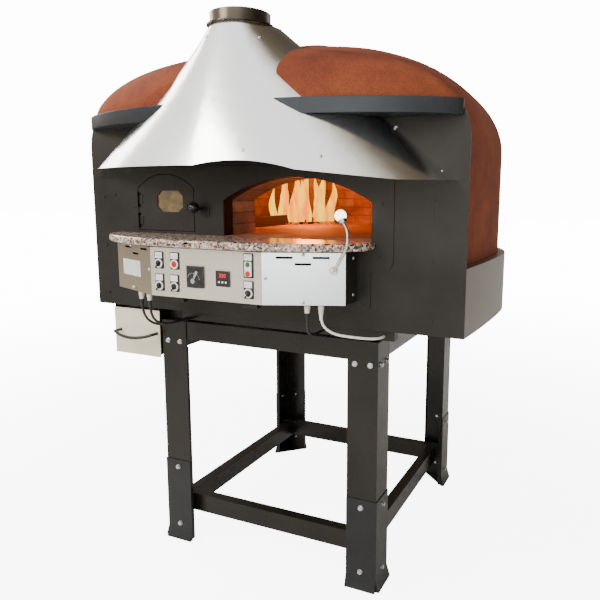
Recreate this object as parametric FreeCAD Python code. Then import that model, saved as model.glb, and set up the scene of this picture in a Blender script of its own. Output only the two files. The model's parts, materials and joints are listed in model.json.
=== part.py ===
import FreeCAD, Part
import math
import os

# Wood fired pizza oven on a bolted stand, in millimetres.
# X runs to the right of the cook, Y to the back, Z up. The origin is on the floor,
# in the middle of the overall width and depth.

V = FreeCAD.Vector

# Body
FRONT_HALF_WIDTH = 690.0        # facade plate, half its width
BODY_HALF_WIDTH = 710.0         # widest half width, where the round back begins
STRAIGHT_DEPTH = 459.0          # facade to the start of the round back
STAND_TOP_Z = 842.0
BEAM_HEIGHT = 44.6
BODY_BOTTOM_Z = STAND_TOP_Z + BEAM_HEIGHT
SHOULDER_Z = BODY_BOTTOM_Z + 550.4      # where walls end and the dome curves in
FRONT_ARCH_RISE = 288.0         # facade arch above the shoulder
DOME_RISE = 372.0               # crown above the shoulder
SKIRT_TOP_Z = BODY_BOTTOM_Z + 203.4
SKIRT_WALL = 3.0
DOME_INSET = 26.0               # dome wall inside the skirt
DOME_WALL = 18.0
FACADE_SHEET = 3.0
PANEL_SHEET = 3.0

# Hood
HOOD_REACH = 309.0              # facade to the hood's front edge
HOOD_HALF_WIDTH = 640.0         # at the facade, between the two lower ends
HOOD_HEAD_HALF = 100.0          # at the facade, under the flue collar
HOOD_HEAD_POWER = 2.3           # roundness of the section under the collar
HOOD_END_Z = BODY_BOTTOM_Z + 460.4      # lower edge at the facade
HOOD_HEM_LEFT = 26.0            # lower edge in front, above the left end
HOOD_HEM_RIGHT = -11.0          # lower edge near the right end
HOOD_SCALLOP_RISE = 12.0        # arch in the lower edge over the mouth
HOOD_SCALLOP_HALF = 146.0
HOOD_EDGE_Z = HOOD_END_Z + HOOD_HEM_LEFT
HOOD_ROOT_Z = HOOD_END_Z - 17.0         # the ruled cone starts here and is trimmed above it
HOOD_FOOT_POWER = 1.8           # roundness of the section at the lower edge
HOOD_TOP_Z = HOOD_END_Z + 439.0
HOOD_SHEET = 2.0
HOOD_FLANGE = 24.0
FLUE_OUTER_RADIUS = 90.0
FLUE_WALL = 2.5
FLUE_HEIGHT = 36.0
FLUE_FLANGE = 10.0
FLUE_FORWARD = 66.0             # flue axis in front of the facade

# Visor and the dome's overhang
VISOR_BOTTOM_Z = SHOULDER_Z + 76.0
VISOR_HEIGHT = 43.0
VISOR_TOP_Z = VISOR_BOTTOM_Z + VISOR_HEIGHT
VISOR_REACH = 206.0
VISOR_HALF_WIDTH = 668.0

# Mouth and fire door
MOUTH_CENTRE_X = 141.0
MOUTH_WIDTH = 525.0
SILL_Z = BODY_BOTTOM_Z + 270.4
MOUTH_SPRING_Z = SILL_Z + 116.0
MOUTH_APEX_Z = MOUTH_SPRING_Z + 74.7
DOOR_CENTRE_X = -359.0
DOOR_WIDTH = 236.0
DOOR_BOTTOM_Z = SILL_Z + 10.0
DOOR_SPRING_Z = DOOR_BOTTOM_Z + 143.0
DOOR_APEX_Z = DOOR_SPRING_Z + 48.0
DOOR_SHEET = 4.0
DOOR_GAP = 2.5
DOOR_REBATE = 8.0
HINGE_KNUCKLE_RADIUS = 5.0
HINGE_PIN_RADIUS = 2.5
HINGE_KNUCKLE = 30.0
HINGE_END_KNUCKLE = 11.0
GLASS_SHEET = 4.0
WINDOW_WIDTH = 108.0
WINDOW_HEIGHT = 72.0
WINDOW_CENTRE = (DOOR_CENTRE_X + 19.0, DOOR_BOTTOM_Z + 100.0)
WINDOW_LAP = 8.0
LATCH_PIVOT = (DOOR_CENTRE_X + 91.0, DOOR_BOTTOM_Z + 82.0)
LATCH_ARM = 40.0
LATCH_BALL_RADIUS = 18.5
FRAME_WALL = 20.0
MOUTH_DEPTH = 190.0
FIRE_WALL = 12.0
FIRE_DEPTH = 240.0

# Centre panel on the facade
PANEL_CENTRE_X = -72.0
PANEL_HALF_WIDTH = 545.0
PANEL_HALF_FOOT = 474.0
PANEL_BOTTOM_Z = BODY_BOTTOM_Z + 54.4
PANEL_STEP_Z = SILL_Z - 93.0
PANEL_WIDE_Z = PANEL_STEP_Z + 31.0
PANEL_TOP_Z = DOOR_APEX_Z + 27.0

# Chamber
VAULT_HALF_WIDTH = 600.0
VAULT_HALF_DEPTH = 520.0
VAULT_RISE = 400.0
VAULT_WALL = 50.0
VAULT_SEGMENTS = 12
VAULT_JOINT = 2.0               # mortar joint round the mouth and fire frames
HEARTH_BOTTOM_Z = SILL_Z - 57.0
TABLE_RADIUS = 385.0
TABLE_SLAB = 40.0
TABLE_GAP = 3.0
CARRIER_PLATE = 12.0
TABLE_BACK = 33.0               # table axis in front of the vault's centre
GUARD_GAP = 2.0                 # ember guard beside the table
GUARD_WALL = 16.0
GUARD_HALF = 190.0
GUARD_HEIGHT = 45.0
SHAFT_RADIUS = 18.0
SHAFT_FIT = 0.05
THRUST_RING = 4.7
MOTOR_DROP = 96.6
MOTOR_CASE = 70.0
MOTOR_LENGTH = 130.0
MOTOR_RADIUS = 44.0
BEARING_RADIUS = 30.0

# Counter and control box
COUNTER_HALF_WIDTH = 487.0
COUNTER_REACH = 223.0
COUNTER_TIP = 46.0
COUNTER_SLAB = 24.0
COUNTER_CENTRE_X = -71.0
BOX_BOTTOM_Z = BODY_BOTTOM_Z + 86.0
BOX_HALF_WIDTH = 431.0
BOX_FACET_HALF = 203.5
BOX_SIDE_REACH = 89.0
BOX_REACH = 186.0
BOX_SHEET = 2.0
BOX_RIM = 12.0

# Stand
STAND_WIDTH = 840.0
STAND_DEPTH = 917.0
LEG_FLANGE = 105.0
LEG_SHEET = 4.0
LEG_LIP = 14.0
SLEEVE_SHEET = 3.0
SLEEVE_HEIGHT = 313.0
SLEEVE_FLARE = 13.0
GUSSET_HEIGHT = 95.0
RAIL_HEIGHT = 65.0
RAIL_DEPTH = 40.0
RAIL_SHEET = 3.0
CROSS_BEAM_FRONT = 190.0
CROSS_BEAM_REAR = 240.0
LOW_RAIL_Z = 102.6
LOW_RAIL_HEIGHT = 67.3
LOW_RAIL_INSET = 36.0
STAND_SETBACK = 484.2           # facade to the middle of the stand

# Ash drawer
DRAWER_WIDTH = 212.0
DRAWER_HEIGHT = 174.0
DRAWER_STAND_GAP = 8.0
DRAWER_RIGHT_X = -STAND_WIDTH / 2 - DRAWER_STAND_GAP
DRAWER_LEFT_X = DRAWER_RIGHT_X - DRAWER_WIDTH
DRAWER_TOP_Z = BODY_BOTTOM_Z - 14.6
DRAWER_BOTTOM_Z = DRAWER_TOP_Z - DRAWER_HEIGHT
DRAWER_DEPTH = 380.0
DRAWER_SHEET = 2.0
DRAWER_SIDE_GAP = 6.0
DRAWER_HANDLE_RADIUS = 5.5

# Clearances and small hardware
CLEAR = 0.3
BOLT_RADIUS = 4.0
BOLT_HOLE = 4.3
SCREW_RADIUS = 2.0
SCREW_HOLE = 2.2
CABLE_RADIUS = 4.0
GLAND_RADIUS = 9.0
GLAND_LENGTH = 24.6
DUCT_DEPTH = 36.0
DUCT_HEIGHT = 36.6

# Places that follow from the sizes above
BODY_DEPTH = STRAIGHT_DEPTH + BODY_HALF_WIDTH
FACADE_Y = (HOOD_REACH - BODY_DEPTH) / 2
PANEL_Y = FACADE_Y - PANEL_SHEET
ROUND_Y = FACADE_Y + STRAIGHT_DEPTH
STAND_Y = FACADE_Y + STAND_SETBACK
VAULT_Y = FACADE_Y + FACADE_SHEET + 20 + VAULT_HALF_DEPTH
TABLE_Y = VAULT_Y - TABLE_BACK
BOX_TOP_Z = SILL_Z - COUNTER_SLAB
TRAY_TOP_Z = BODY_BOTTOM_Z + 6
LEG_FRONT_Y = STAND_Y - STAND_DEPTH / 2
BOX_FACET_Y = PANEL_Y - BOX_REACH + PANEL_SHEET
DRAWER_Y = LEG_FRONT_Y - 2
DUCT_FRONT_Y = STAND_Y - STAND_DEPTH / 2 + 4.3

os.makedirs("parts", exist_ok=True)


def block(x_pair, y_pair, z_pair):
    x0, x1 = sorted(x_pair)
    y0, y1 = sorted(y_pair)
    z0, z1 = sorted(z_pair)
    return Part.makeBox(x1 - x0, y1 - y0, z1 - z0, V(x0, y0, z0))


def rod(start, direction, length, radius):
    return Part.makeCylinder(radius, length, V(*start), V(*direction))


def tube(start, direction, length, outer, inner):
    return rod(start, direction, length, outer).cut(rod(start, direction, length, inner))


def joined(shapes):
    first = shapes[0]
    if len(shapes) == 1:
        return first
    return first.multiFuse(shapes[1:]).removeSplitter()


def group(shapes):
    return Part.makeCompound(shapes)


def save(name, shape):
    shape.exportStep("parts/" + name + ".step")
    print(name, "solids", len(shape.Solids), "volume", round(shape.Volume))


def plate_xz(points, y_front, thickness):
    # Flat polygon in the XZ plane, thickened towards +Y
    loop = [V(x, y_front, z) for x, z in points]
    face = Part.Face(Part.makePolygon(loop + [loop[0]]))
    return face.extrude(V(0, thickness, 0))


def plate_xy(points, z_bottom, height):
    loop = [V(x, y, z_bottom) for x, y in points]
    face = Part.Face(Part.makePolygon(loop + [loop[0]]))
    return face.extrude(V(0, 0, height))


def arch_opening(centre_x, width, bottom, spring, apex, grow, y_front, depth, sill_grow=0.0):
    # Opening with upright jambs and a segmental arch
    left = centre_x - width / 2 - grow
    right = centre_x + width / 2 + grow
    base = bottom - sill_grow
    corners = [V(left, y_front, base), V(right, y_front, base), V(right, y_front, spring)]
    top = V(centre_x, y_front, apex + grow)
    last = V(left, y_front, spring)
    edges = [Part.makeLine(corners[0], corners[1]), Part.makeLine(corners[1], corners[2]),
             Part.Arc(corners[2], top, last).toShape(), Part.makeLine(last, corners[0])]
    return Part.Face(Part.Wire(edges)).extrude(V(0, depth, 0))


def spline_edge(points):
    curve = Part.BSplineCurve()
    curve.interpolate(points)
    return curve.toShape()


def quarter_arch(side, half_width, rise, power, y, count=9):
    # Shoulder to crown on one side, on a superellipse
    points = []
    for index in range(count + 1):
        angle = math.pi / 2 * index / count
        across = max(math.cos(angle), 0.0) ** (2 / power)
        up = max(math.sin(angle), 0.0) ** (2 / power)
        points.append(V(side * half_width * across, y, SHOULDER_Z + rise * up))
    curve = Part.BSplineCurve()
    curve.interpolate(Points=points, InitialTangent=V(0, 0, 1), FinalTangent=V(-side, 0, 0))
    return curve.toShape()


def arch_wire(half_width, rise, power, y, bottom):
    shoulder = V(half_width, y, SHOULDER_Z)
    foot = V(half_width, y, bottom)
    other_shoulder = V(-half_width, y, SHOULDER_Z)
    other_foot = V(-half_width, y, bottom)
    return Part.Wire([Part.makeLine(foot, shoulder), quarter_arch(1, half_width, rise, power, y),
                      quarter_arch(-1, half_width, rise, power, y),
                      Part.makeLine(other_shoulder, other_foot), Part.makeLine(other_foot, foot)])


def side_x(y, inset):
    # Half width of the body plan in front of the round back
    share = (ROUND_Y - y) / STRAIGHT_DEPTH
    return BODY_HALF_WIDTH - inset - (BODY_HALF_WIDTH - FRONT_HALF_WIDTH) * share ** 2


def body_plan(inset, y_front, bottom, height):
    radius = BODY_HALF_WIDTH - inset
    y_mid = (y_front + ROUND_Y) / 2
    front = [V(-side_x(y_front, inset), y_front, bottom), V(side_x(y_front, inset), y_front, bottom)]
    right = V(radius, ROUND_Y, bottom)
    left = V(-radius, ROUND_Y, bottom)
    edges = [Part.makeLine(front[0], front[1]),
             Part.Arc(front[1], V(side_x(y_mid, inset), y_mid, bottom), right).toShape(),
             Part.Arc(right, V(0, ROUND_Y + radius, bottom), left).toShape(),
             Part.Arc(left, V(-side_x(y_mid, inset), y_mid, bottom), front[0]).toShape()]
    return Part.Face(Part.Wire(edges)).extrude(V(0, 0, height))


def dome_solid(inset, wall, bottom, y_front):
    # Lofted front half and a revolved back half
    stations = []
    for share in (1.0, 0.66, 0.33, 0.0):
        y = ROUND_Y - (ROUND_Y - y_front) * share
        half_width = side_x(y, inset) - wall
        rise = DOME_RISE - wall - (DOME_RISE - FRONT_ARCH_RISE) * share ** 2
        stations.append(arch_wire(half_width, rise, 2.0 + 0.4 * share, y, bottom))
    front = Part.makeLoft(stations, True, False)
    radius = BODY_HALF_WIDTH - inset - wall
    rise = DOME_RISE - wall
    quarter = quarter_arch(1, radius, rise, 2.0, ROUND_Y)
    crown = V(0, ROUND_Y, SHOULDER_Z + rise)
    foot = V(0, ROUND_Y, bottom)
    rim = V(radius, ROUND_Y, bottom)
    profile = Part.Wire([Part.makeLine(foot, rim), Part.makeLine(rim, V(radius, ROUND_Y, SHOULDER_Z)),
                         quarter, Part.makeLine(crown, foot)])
    back = Part.Face(profile).revolve(V(0, ROUND_Y, 0), V(0, 0, 1), 180)
    return front.fuse(back)


def hood_section(half_width, reach, z, power):
    # Closed D: a curved front and a straight back on the facade plane
    points = []
    count = 24
    for index in range(count + 1):
        angle = math.pi * index / count
        across = abs(math.cos(angle)) ** (2 / power)
        forward = max(math.sin(angle), 0.0) ** (2 / power)
        x = half_width * math.copysign(across, math.cos(angle))
        points.append(V(x, FACADE_Y - reach * forward, z))
    points[0].y = FACADE_Y
    points[-1].y = FACADE_Y
    return Part.Wire([spline_edge(points), Part.makeLine(points[-1], points[0])])


def at_root(size, size_z, head):
    # Size of the ruled cone at its root, from its size at size_z and at the flue
    share = (size_z - HOOD_ROOT_Z) / (HOOD_TOP_Z - HOOD_ROOT_Z)
    return (size - head * share) / (1 - share)


HOOD_HEAD_REACH = FLUE_FORWARD + FLUE_OUTER_RADIUS
HOOD_ROOT_HALF = at_root(HOOD_HALF_WIDTH, HOOD_END_Z, HOOD_HEAD_HALF)
HOOD_ROOT_REACH = at_root(HOOD_REACH, HOOD_EDGE_Z, HOOD_HEAD_REACH)


def hood_cone(skin):
    lower = hood_section(HOOD_ROOT_HALF - skin, HOOD_ROOT_REACH - skin, HOOD_ROOT_Z, HOOD_FOOT_POWER)
    upper = hood_section(HOOD_HEAD_HALF - skin, HOOD_HEAD_REACH - skin, HOOD_TOP_Z, HOOD_HEAD_POWER)
    return Part.makeLoft([lower, upper], True, True)


def hood_edge_line(side, outset, z):
    # Where the cone meets the facade, moved sideways by outset
    share = (z - HOOD_ROOT_Z) / (HOOD_TOP_Z - HOOD_ROOT_Z)
    return side * (HOOD_ROOT_HALF + (HOOD_HEAD_HALF - HOOD_ROOT_HALF) * share + outset)


def hood_flanges(grow):
    strips = []
    for side in (-1, 1):
        low = HOOD_END_Z + HOOD_HEM_RIGHT - grow
        high = SHOULDER_Z + FRONT_ARCH_RISE - 40
        points = [(hood_edge_line(side, -6, low), low),
                  (hood_edge_line(side, HOOD_FLANGE + grow, low), low),
                  (hood_edge_line(side, HOOD_FLANGE + grow, high), high),
                  (hood_edge_line(side, -6, high), high)]
        strips.append(plate_xz(points, FACADE_Y - FACADE_SHEET - grow, FACADE_SHEET + grow))
    return strips


def facade_sheet(y_front, thickness):
    wire = arch_wire(FRONT_HALF_WIDTH, FRONT_ARCH_RISE, 2.4, y_front, BODY_BOTTOM_Z)
    return Part.Face(wire).extrude(V(0, thickness, 0))


def hood_shell():
    outer = hood_cone(0)
    inner = hood_cone(HOOD_SHEET)
    shell = outer.cut(inner)
    back_low = SHOULDER_Z + FRONT_ARCH_RISE - 45
    back = plate_xz([(hood_edge_line(-1, 0, back_low), back_low),
                     (hood_edge_line(1, 0, back_low), back_low),
                     (hood_edge_line(1, 0, HOOD_TOP_Z), HOOD_TOP_Z),
                     (hood_edge_line(-1, 0, HOOD_TOP_Z), HOOD_TOP_Z)],
                    FACADE_Y - HOOD_SHEET, HOOD_SHEET)
    clip = facade_sheet(FACADE_Y - FACADE_SHEET, FACADE_SHEET)
    flanges = [strip.common(clip) for strip in hood_flanges(0)]
    lid = Part.Face(hood_section(HOOD_HEAD_HALF, HOOD_HEAD_REACH, HOOD_TOP_Z - HOOD_SHEET, HOOD_HEAD_POWER))
    lid = lid.extrude(V(0, 0, HOOD_SHEET))
    throat = rod((0, FACADE_Y - FLUE_FORWARD, HOOD_TOP_Z - 10), (0, 0, 1), 20, FLUE_OUTER_RADIUS - FLUE_WALL)
    shell = joined([shell, back, lid] + flanges).cut(throat)
    return shell.cut(below_hem())


def below_hem():
    # Everything under the hood's lower edge
    y0 = FACADE_Y - HOOD_REACH - 50
    floor = HOOD_ROOT_Z - 5
    left = -HOOD_HALF_WIDTH
    right = HOOD_HALF_WIDTH
    start = V(MOUTH_CENTRE_X - HOOD_SCALLOP_HALF, y0, HOOD_EDGE_Z)
    end = V(MOUTH_CENTRE_X + HOOD_SCALLOP_HALF, y0, HOOD_EDGE_Z - HOOD_SCALLOP_RISE)
    crest = V(MOUTH_CENTRE_X, y0, HOOD_EDGE_Z + HOOD_SCALLOP_RISE)
    before = [V(left - 90, y0, floor), V(left - 90, y0, HOOD_END_Z), V(left, y0, HOOD_END_Z),
              V(left + 45, y0, HOOD_EDGE_Z), start]
    after = [end, V(right - 105, y0, HOOD_END_Z + HOOD_HEM_RIGHT),
             V(right + 90, y0, HOOD_END_Z + HOOD_HEM_RIGHT), V(right + 90, y0, floor), before[0]]
    edges = [Part.makeLine(*pair) for line in (before, after) for pair in zip(line, line[1:])]
    edges.insert(len(before) - 1, Part.Arc(start, crest, end).toShape())
    return Part.Face(Part.Wire(edges)).extrude(V(0, HOOD_REACH + 80, 0))


def hood_envelope():
    # Room that the hood takes up in front of the facade, with the running clearance
    cone = hood_cone(-CLEAR)
    return [cone] + hood_flanges(CLEAR)


def visor_depth(x):
    share = min(abs(x) / VISOR_HALF_WIDTH, 1.0)
    return VISOR_REACH * (1 - share ** 2) ** 0.75


def visor():
    points = []
    count = 32
    for index in range(count + 1):
        x = -VISOR_HALF_WIDTH * math.cos(math.pi * index / count)
        points.append(V(x, FACADE_Y - 8 - visor_depth(x), VISOR_BOTTOM_Z))
    right = V(VISOR_HALF_WIDTH, FACADE_Y, VISOR_BOTTOM_Z)
    left = V(-VISOR_HALF_WIDTH, FACADE_Y, VISOR_BOTTOM_Z)
    wire = Part.Wire([spline_edge(points), Part.makeLine(points[-1], right),
                      Part.makeLine(right, left), Part.makeLine(left, points[0])])
    slab = Part.Face(wire).extrude(V(0, 0, VISOR_TOP_Z - VISOR_BOTTOM_Z))
    return slab.cut(hood_envelope())


def overhang_section(y_share):
    # Section of the overhang at a share of the visor's reach in front of the facade
    reach = VISOR_REACH - 14
    depth = reach * y_share
    spread = (VISOR_HALF_WIDTH - 12) * math.sqrt(1 - y_share ** (1 / 0.75))
    base = VISOR_TOP_Z
    top = arch_height(0.0) - base
    points = []
    count = 18
    for index in range(count + 1):
        x = spread * math.cos(math.pi * index / count)
        local = reach * (1 - (x / (VISOR_HALF_WIDTH - 12)) ** 2) ** 0.75
        share = min(depth / local, 1.0) if local > 0 else 1.0
        rise = min(arch_height(x) - base, top) * max(1 - share ** 1.9, 0.0) ** (1 / 1.9)
        points.append(V(x, FACADE_Y - depth, base + max(rise, 0.0)))
    if y_share > 0:
        points[0].z = base
        points[-1].z = base
    low = 2.0
    right = V(points[0].x, FACADE_Y - depth, base - low)
    left = V(points[-1].x, FACADE_Y - depth, base - low)
    return Part.Wire([Part.makeLine(right, points[0]), spline_edge(points),
                      Part.makeLine(points[-1], left), Part.makeLine(left, right)])


def arch_height(x):
    share = min(abs(x) / FRONT_HALF_WIDTH, 1.0)
    return SHOULDER_Z + FRONT_ARCH_RISE * (1 - share ** 2.4) ** (1 / 2.4)


def dome_front():
    stations = [overhang_section(share) for share in (0.0, 0.25, 0.5, 0.7, 0.84)]
    cap = Part.makeLoft(stations, True, False)
    below = block((-800, 800), (FACADE_Y - 300, FACADE_Y + 5), (VISOR_TOP_Z - 20, VISOR_TOP_Z))
    cap = cap.cut([below] + hood_envelope())
    return group([piece for piece in cap.Solids if piece.Volume > 1e5])


def dome_shell():
    y_front = FACADE_Y + FACADE_SHEET
    outer = dome_solid(DOME_INSET, 0, TRAY_TOP_Z, y_front)
    inner = dome_solid(DOME_INSET, DOME_WALL, TRAY_TOP_Z - 5, y_front - 5)
    return outer.cut(inner)


def skirt():
    y_front = FACADE_Y + FACADE_SHEET
    height = SKIRT_TOP_Z - BODY_BOTTOM_Z
    outer = body_plan(0, y_front, BODY_BOTTOM_Z, height)
    inner = body_plan(SKIRT_WALL, y_front - 5, BODY_BOTTOM_Z - 1, height - SKIRT_WALL + 1)
    lip = body_plan(DOME_INSET - CLEAR, y_front - 5, BODY_BOTTOM_Z, height + 5)
    front = block((-800, 800), (y_front - 40, y_front), (BODY_BOTTOM_Z - 5, SKIRT_TOP_Z + 5))
    return outer.cut([inner, lip, front])


def base_tray():
    y_front = FACADE_Y + FACADE_SHEET
    sheet = body_plan(SKIRT_WALL, y_front, BODY_BOTTOM_Z, TRAY_TOP_Z - BODY_BOTTOM_Z)
    bore = rod((MOUTH_CENTRE_X, TABLE_Y, BODY_BOTTOM_Z - 5), (0, 0, 1), 20, BEARING_RADIUS)
    return sheet.cut(bore)


def ellipse_slab(half_x, half_y, bottom, top):
    ellipse = Part.Ellipse(V(0, VAULT_Y, bottom), half_x, half_y).toShape()
    return Part.Face(Part.Wire([ellipse])).extrude(V(0, 0, top - bottom))


def hearth_outline(bottom, top):
    left = DOOR_CENTRE_X - DOOR_WIDTH / 2 - FIRE_WALL
    right = MOUTH_CENTRE_X + MOUTH_WIDTH / 2 + FRAME_WALL
    tongue = block((left, right), (FACADE_Y + FACADE_SHEET, VAULT_Y - 200), (bottom, top))
    return joined([ellipse_slab(VAULT_HALF_WIDTH, VAULT_HALF_DEPTH, bottom, top), tongue])


def hearth():
    well = rod((MOUTH_CENTRE_X, TABLE_Y, HEARTH_BOTTOM_Z - 1), (0, 0, 1), 80, TABLE_RADIUS + TABLE_GAP)
    guard_x = MOUTH_CENTRE_X - TABLE_RADIUS - GUARD_GAP
    guard = block((guard_x - GUARD_WALL, guard_x), (TABLE_Y - GUARD_HALF, TABLE_Y + GUARD_HALF),
                  (SILL_Z, SILL_Z + GUARD_HEIGHT))
    return joined([hearth_outline(HEARTH_BOTTOM_Z, SILL_Z).cut(well), guard])


def hearth_base():
    slab = hearth_outline(TRAY_TOP_Z, HEARTH_BOTTOM_Z)
    return slab.cut(rod((MOUTH_CENTRE_X, TABLE_Y, TRAY_TOP_Z - 1), (0, 0, 1), 300, BEARING_RADIUS))


def half_egg(half_x, half_y, rise):
    ball = Part.makeSphere(1.0)
    matrix = FreeCAD.Matrix()
    matrix.scale(half_x, half_y, rise)
    egg = ball.transformGeometry(matrix)
    egg.translate(V(0, VAULT_Y, SILL_Z))
    return egg


def refractory_vault():
    outer = half_egg(VAULT_HALF_WIDTH, VAULT_HALF_DEPTH, VAULT_RISE)
    inner = half_egg(VAULT_HALF_WIDTH - VAULT_WALL, VAULT_HALF_DEPTH - VAULT_WALL,
                     VAULT_RISE - VAULT_WALL)
    below = block((-700, 700), (VAULT_Y - 700, VAULT_Y + 700), (SILL_Z - 500, SILL_Z))
    y0 = FACADE_Y
    mouth = arch_opening(MOUTH_CENTRE_X, MOUTH_WIDTH, SILL_Z, MOUTH_SPRING_Z, MOUTH_APEX_Z,
                         FRAME_WALL + VAULT_JOINT, y0, 280, 5)
    fire = arch_opening(DOOR_CENTRE_X, DOOR_WIDTH, DOOR_BOTTOM_Z, DOOR_SPRING_Z, DOOR_APEX_Z,
                        FIRE_WALL + VAULT_JOINT, y0, 360, 15)
    flue = rod((0, VAULT_Y - VAULT_HALF_DEPTH + 150, SILL_Z + 200), (0, 0, 1), 300, 60)
    shell = outer.cut([inner, below, mouth, fire, flue])
    pieces = []
    for wedge in vault_wedges():
        pieces += [piece for piece in shell.common(wedge).Solids if piece.Volume > 1e4]
    return group(pieces)


def vault_wedges():
    # The vault is cast in segments that meet on upright planes through its crown
    far = 900.0
    wedges = []
    for index in range(VAULT_SEGMENTS):
        angles = [2 * math.pi * (index + step) / VAULT_SEGMENTS for step in (-0.4, 0.1, 0.6)]
        rim = [V(far * math.cos(angle), VAULT_Y + far * math.sin(angle), SILL_Z) for angle in angles]
        crown = V(0, VAULT_Y, SILL_Z)
        wire = Part.makePolygon([crown] + rim + [crown])
        wedges.append(Part.Face(wire).extrude(V(0, 0, VAULT_RISE + 10)))
    return wedges


def mouth_frames():
    y0 = FACADE_Y + FACADE_SHEET
    mouth_size = (MOUTH_CENTRE_X, MOUTH_WIDTH, SILL_Z, MOUTH_SPRING_Z, MOUTH_APEX_Z)
    mouth = arch_opening(*mouth_size, FRAME_WALL, y0, MOUTH_DEPTH)
    mouth = mouth.cut(arch_opening(*mouth_size, 0, y0 - 1, MOUTH_DEPTH + 2, 5))
    fire_size = (DOOR_CENTRE_X, DOOR_WIDTH, DOOR_BOTTOM_Z, DOOR_SPRING_Z, DOOR_APEX_Z)
    lift = DOOR_BOTTOM_Z - SILL_Z
    fire = arch_opening(*fire_size, FIRE_WALL, y0, FIRE_DEPTH, lift)
    fire = fire.cut(arch_opening(*fire_size, -DOOR_REBATE, y0 - 1, FIRE_DEPTH + 2, -DOOR_REBATE))
    return group([mouth, fire])


def opening_tools(grow_door):
    y0 = PANEL_Y - 5
    return [arch_opening(MOUTH_CENTRE_X, MOUTH_WIDTH, SILL_Z, MOUTH_SPRING_Z, MOUTH_APEX_Z, 0, y0, 20),
            arch_opening(DOOR_CENTRE_X, DOOR_WIDTH, DOOR_BOTTOM_Z, DOOR_SPRING_Z, DOOR_APEX_Z,
                         grow_door, y0, 20, grow_door)]


def centre_panel_outline():
    left_wide = PANEL_CENTRE_X - PANEL_HALF_WIDTH
    right_wide = PANEL_CENTRE_X + PANEL_HALF_WIDTH
    left_foot = PANEL_CENTRE_X - PANEL_HALF_FOOT
    right_foot = PANEL_CENTRE_X + PANEL_HALF_FOOT
    corner = 14.0
    points = [(left_foot + corner, PANEL_BOTTOM_Z), (right_foot - corner, PANEL_BOTTOM_Z),
              (right_foot, PANEL_BOTTOM_Z + corner), (right_foot, PANEL_STEP_Z),
              (right_wide - corner, PANEL_STEP_Z + 8), (right_wide, PANEL_WIDE_Z),
              (right_wide, PANEL_TOP_Z), (left_wide, PANEL_TOP_Z), (left_wide, PANEL_WIDE_Z),
              (left_wide + corner, PANEL_STEP_Z + 8), (left_foot, PANEL_STEP_Z),
              (left_foot, PANEL_BOTTOM_Z + corner)]
    return plate_xz(points, PANEL_Y, PANEL_SHEET)


# Screw places as x and height above the body's bottom
PANEL_SCREWS = [(434, 381), (430, 225), (370, 75), (-586, 401), (-578, 225), (-514, 75)]
FACADE_SCREWS = [(590, 394), (591, 220), (591, 43), (-640, 394), (-640, 220), (-640, 43)]


def cover_screws():
    screws = []
    seats = [(place, PANEL_Y) for place in PANEL_SCREWS] + [(place, FACADE_Y) for place in FACADE_SCREWS]
    for (x, height), seat in seats:
        z = BODY_BOTTOM_Z + height
        shank = FACADE_Y + FACADE_SHEET - seat
        head = rod((x, seat, z), (0, -1, 0), 2.6, 5.5).cut(rod((x, seat - 1.2, z), (0, -1, 0), 3, 2.0))
        screws.append(head.fuse(rod((x, seat, z), (0, 1, 0), shank, SCREW_RADIUS)))
    return group(screws)


def screw_holes():
    return [rod((x, PANEL_Y - 2, BODY_BOTTOM_Z + height), (0, 1, 0), 20, SCREW_HOLE)
            for x, height in PANEL_SCREWS + FACADE_SCREWS]


def facade():
    sheet = facade_sheet(FACADE_Y, FACADE_SHEET)
    return sheet.cut(opening_tools(DOOR_GAP) + screw_holes())


def centre_panel():
    return centre_panel_outline().cut(opening_tools(DOOR_GAP) + screw_holes() + hood_flanges(CLEAR))


HINGE_X = DOOR_CENTRE_X - DOOR_WIDTH / 2 - DOOR_GAP / 2
HINGE_Y = PANEL_Y - HINGE_KNUCKLE_RADIUS - CLEAR
HINGE_HEIGHTS = (DOOR_BOTTOM_Z + 34, DOOR_BOTTOM_Z + 104)


def octagon(centre, width, height, cut_corner, y_front, thickness):
    x, z = centre
    a, b = width / 2, height / 2
    points = [(x - a, z - b + cut_corner), (x - a, z + b - cut_corner), (x - a + cut_corner, z + b),
              (x + a - cut_corner, z + b), (x + a, z + b - cut_corner), (x + a, z - b + cut_corner),
              (x + a - cut_corner, z - b), (x - a + cut_corner, z - b)]
    return plate_xz(points, y_front, thickness)


def door_leaf():
    leaf = arch_opening(DOOR_CENTRE_X, DOOR_WIDTH, DOOR_BOTTOM_Z, DOOR_SPRING_Z, DOOR_APEX_Z,
                        0, PANEL_Y, DOOR_SHEET)
    window = octagon(WINDOW_CENTRE, WINDOW_WIDTH, WINDOW_HEIGHT, 18, PANEL_Y - 1, DOOR_SHEET + 2)
    stud = rod((LATCH_PIVOT[0], PANEL_Y, LATCH_PIVOT[1]), (0, -1, 0), 12, 4)
    pieces = [leaf.cut(window), stud]
    for z in HINGE_HEIGHTS:
        low = z - HINGE_KNUCKLE / 2 + CLEAR
        length = HINGE_KNUCKLE - 2 * CLEAR
        pieces.append(rod((HINGE_X, HINGE_Y, low), (0, 0, 1), length, HINGE_KNUCKLE_RADIUS))
        pieces.append(block((HINGE_X, HINGE_X + 20), (PANEL_Y - 2.5, PANEL_Y), (low, low + length)))
    leaf = joined(pieces)
    bores = [rod((HINGE_X, HINGE_Y, z - 40), (0, 0, 1), 80, HINGE_PIN_RADIUS + 0.05)
             for z in HINGE_HEIGHTS]
    behind = block((HINGE_X - 10, DOOR_CENTRE_X - DOOR_WIDTH / 2), (PANEL_Y - CLEAR, PANEL_Y + 10),
                   (DOOR_BOTTOM_Z, DOOR_APEX_Z))
    return leaf.cut(bores + [behind])


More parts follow.
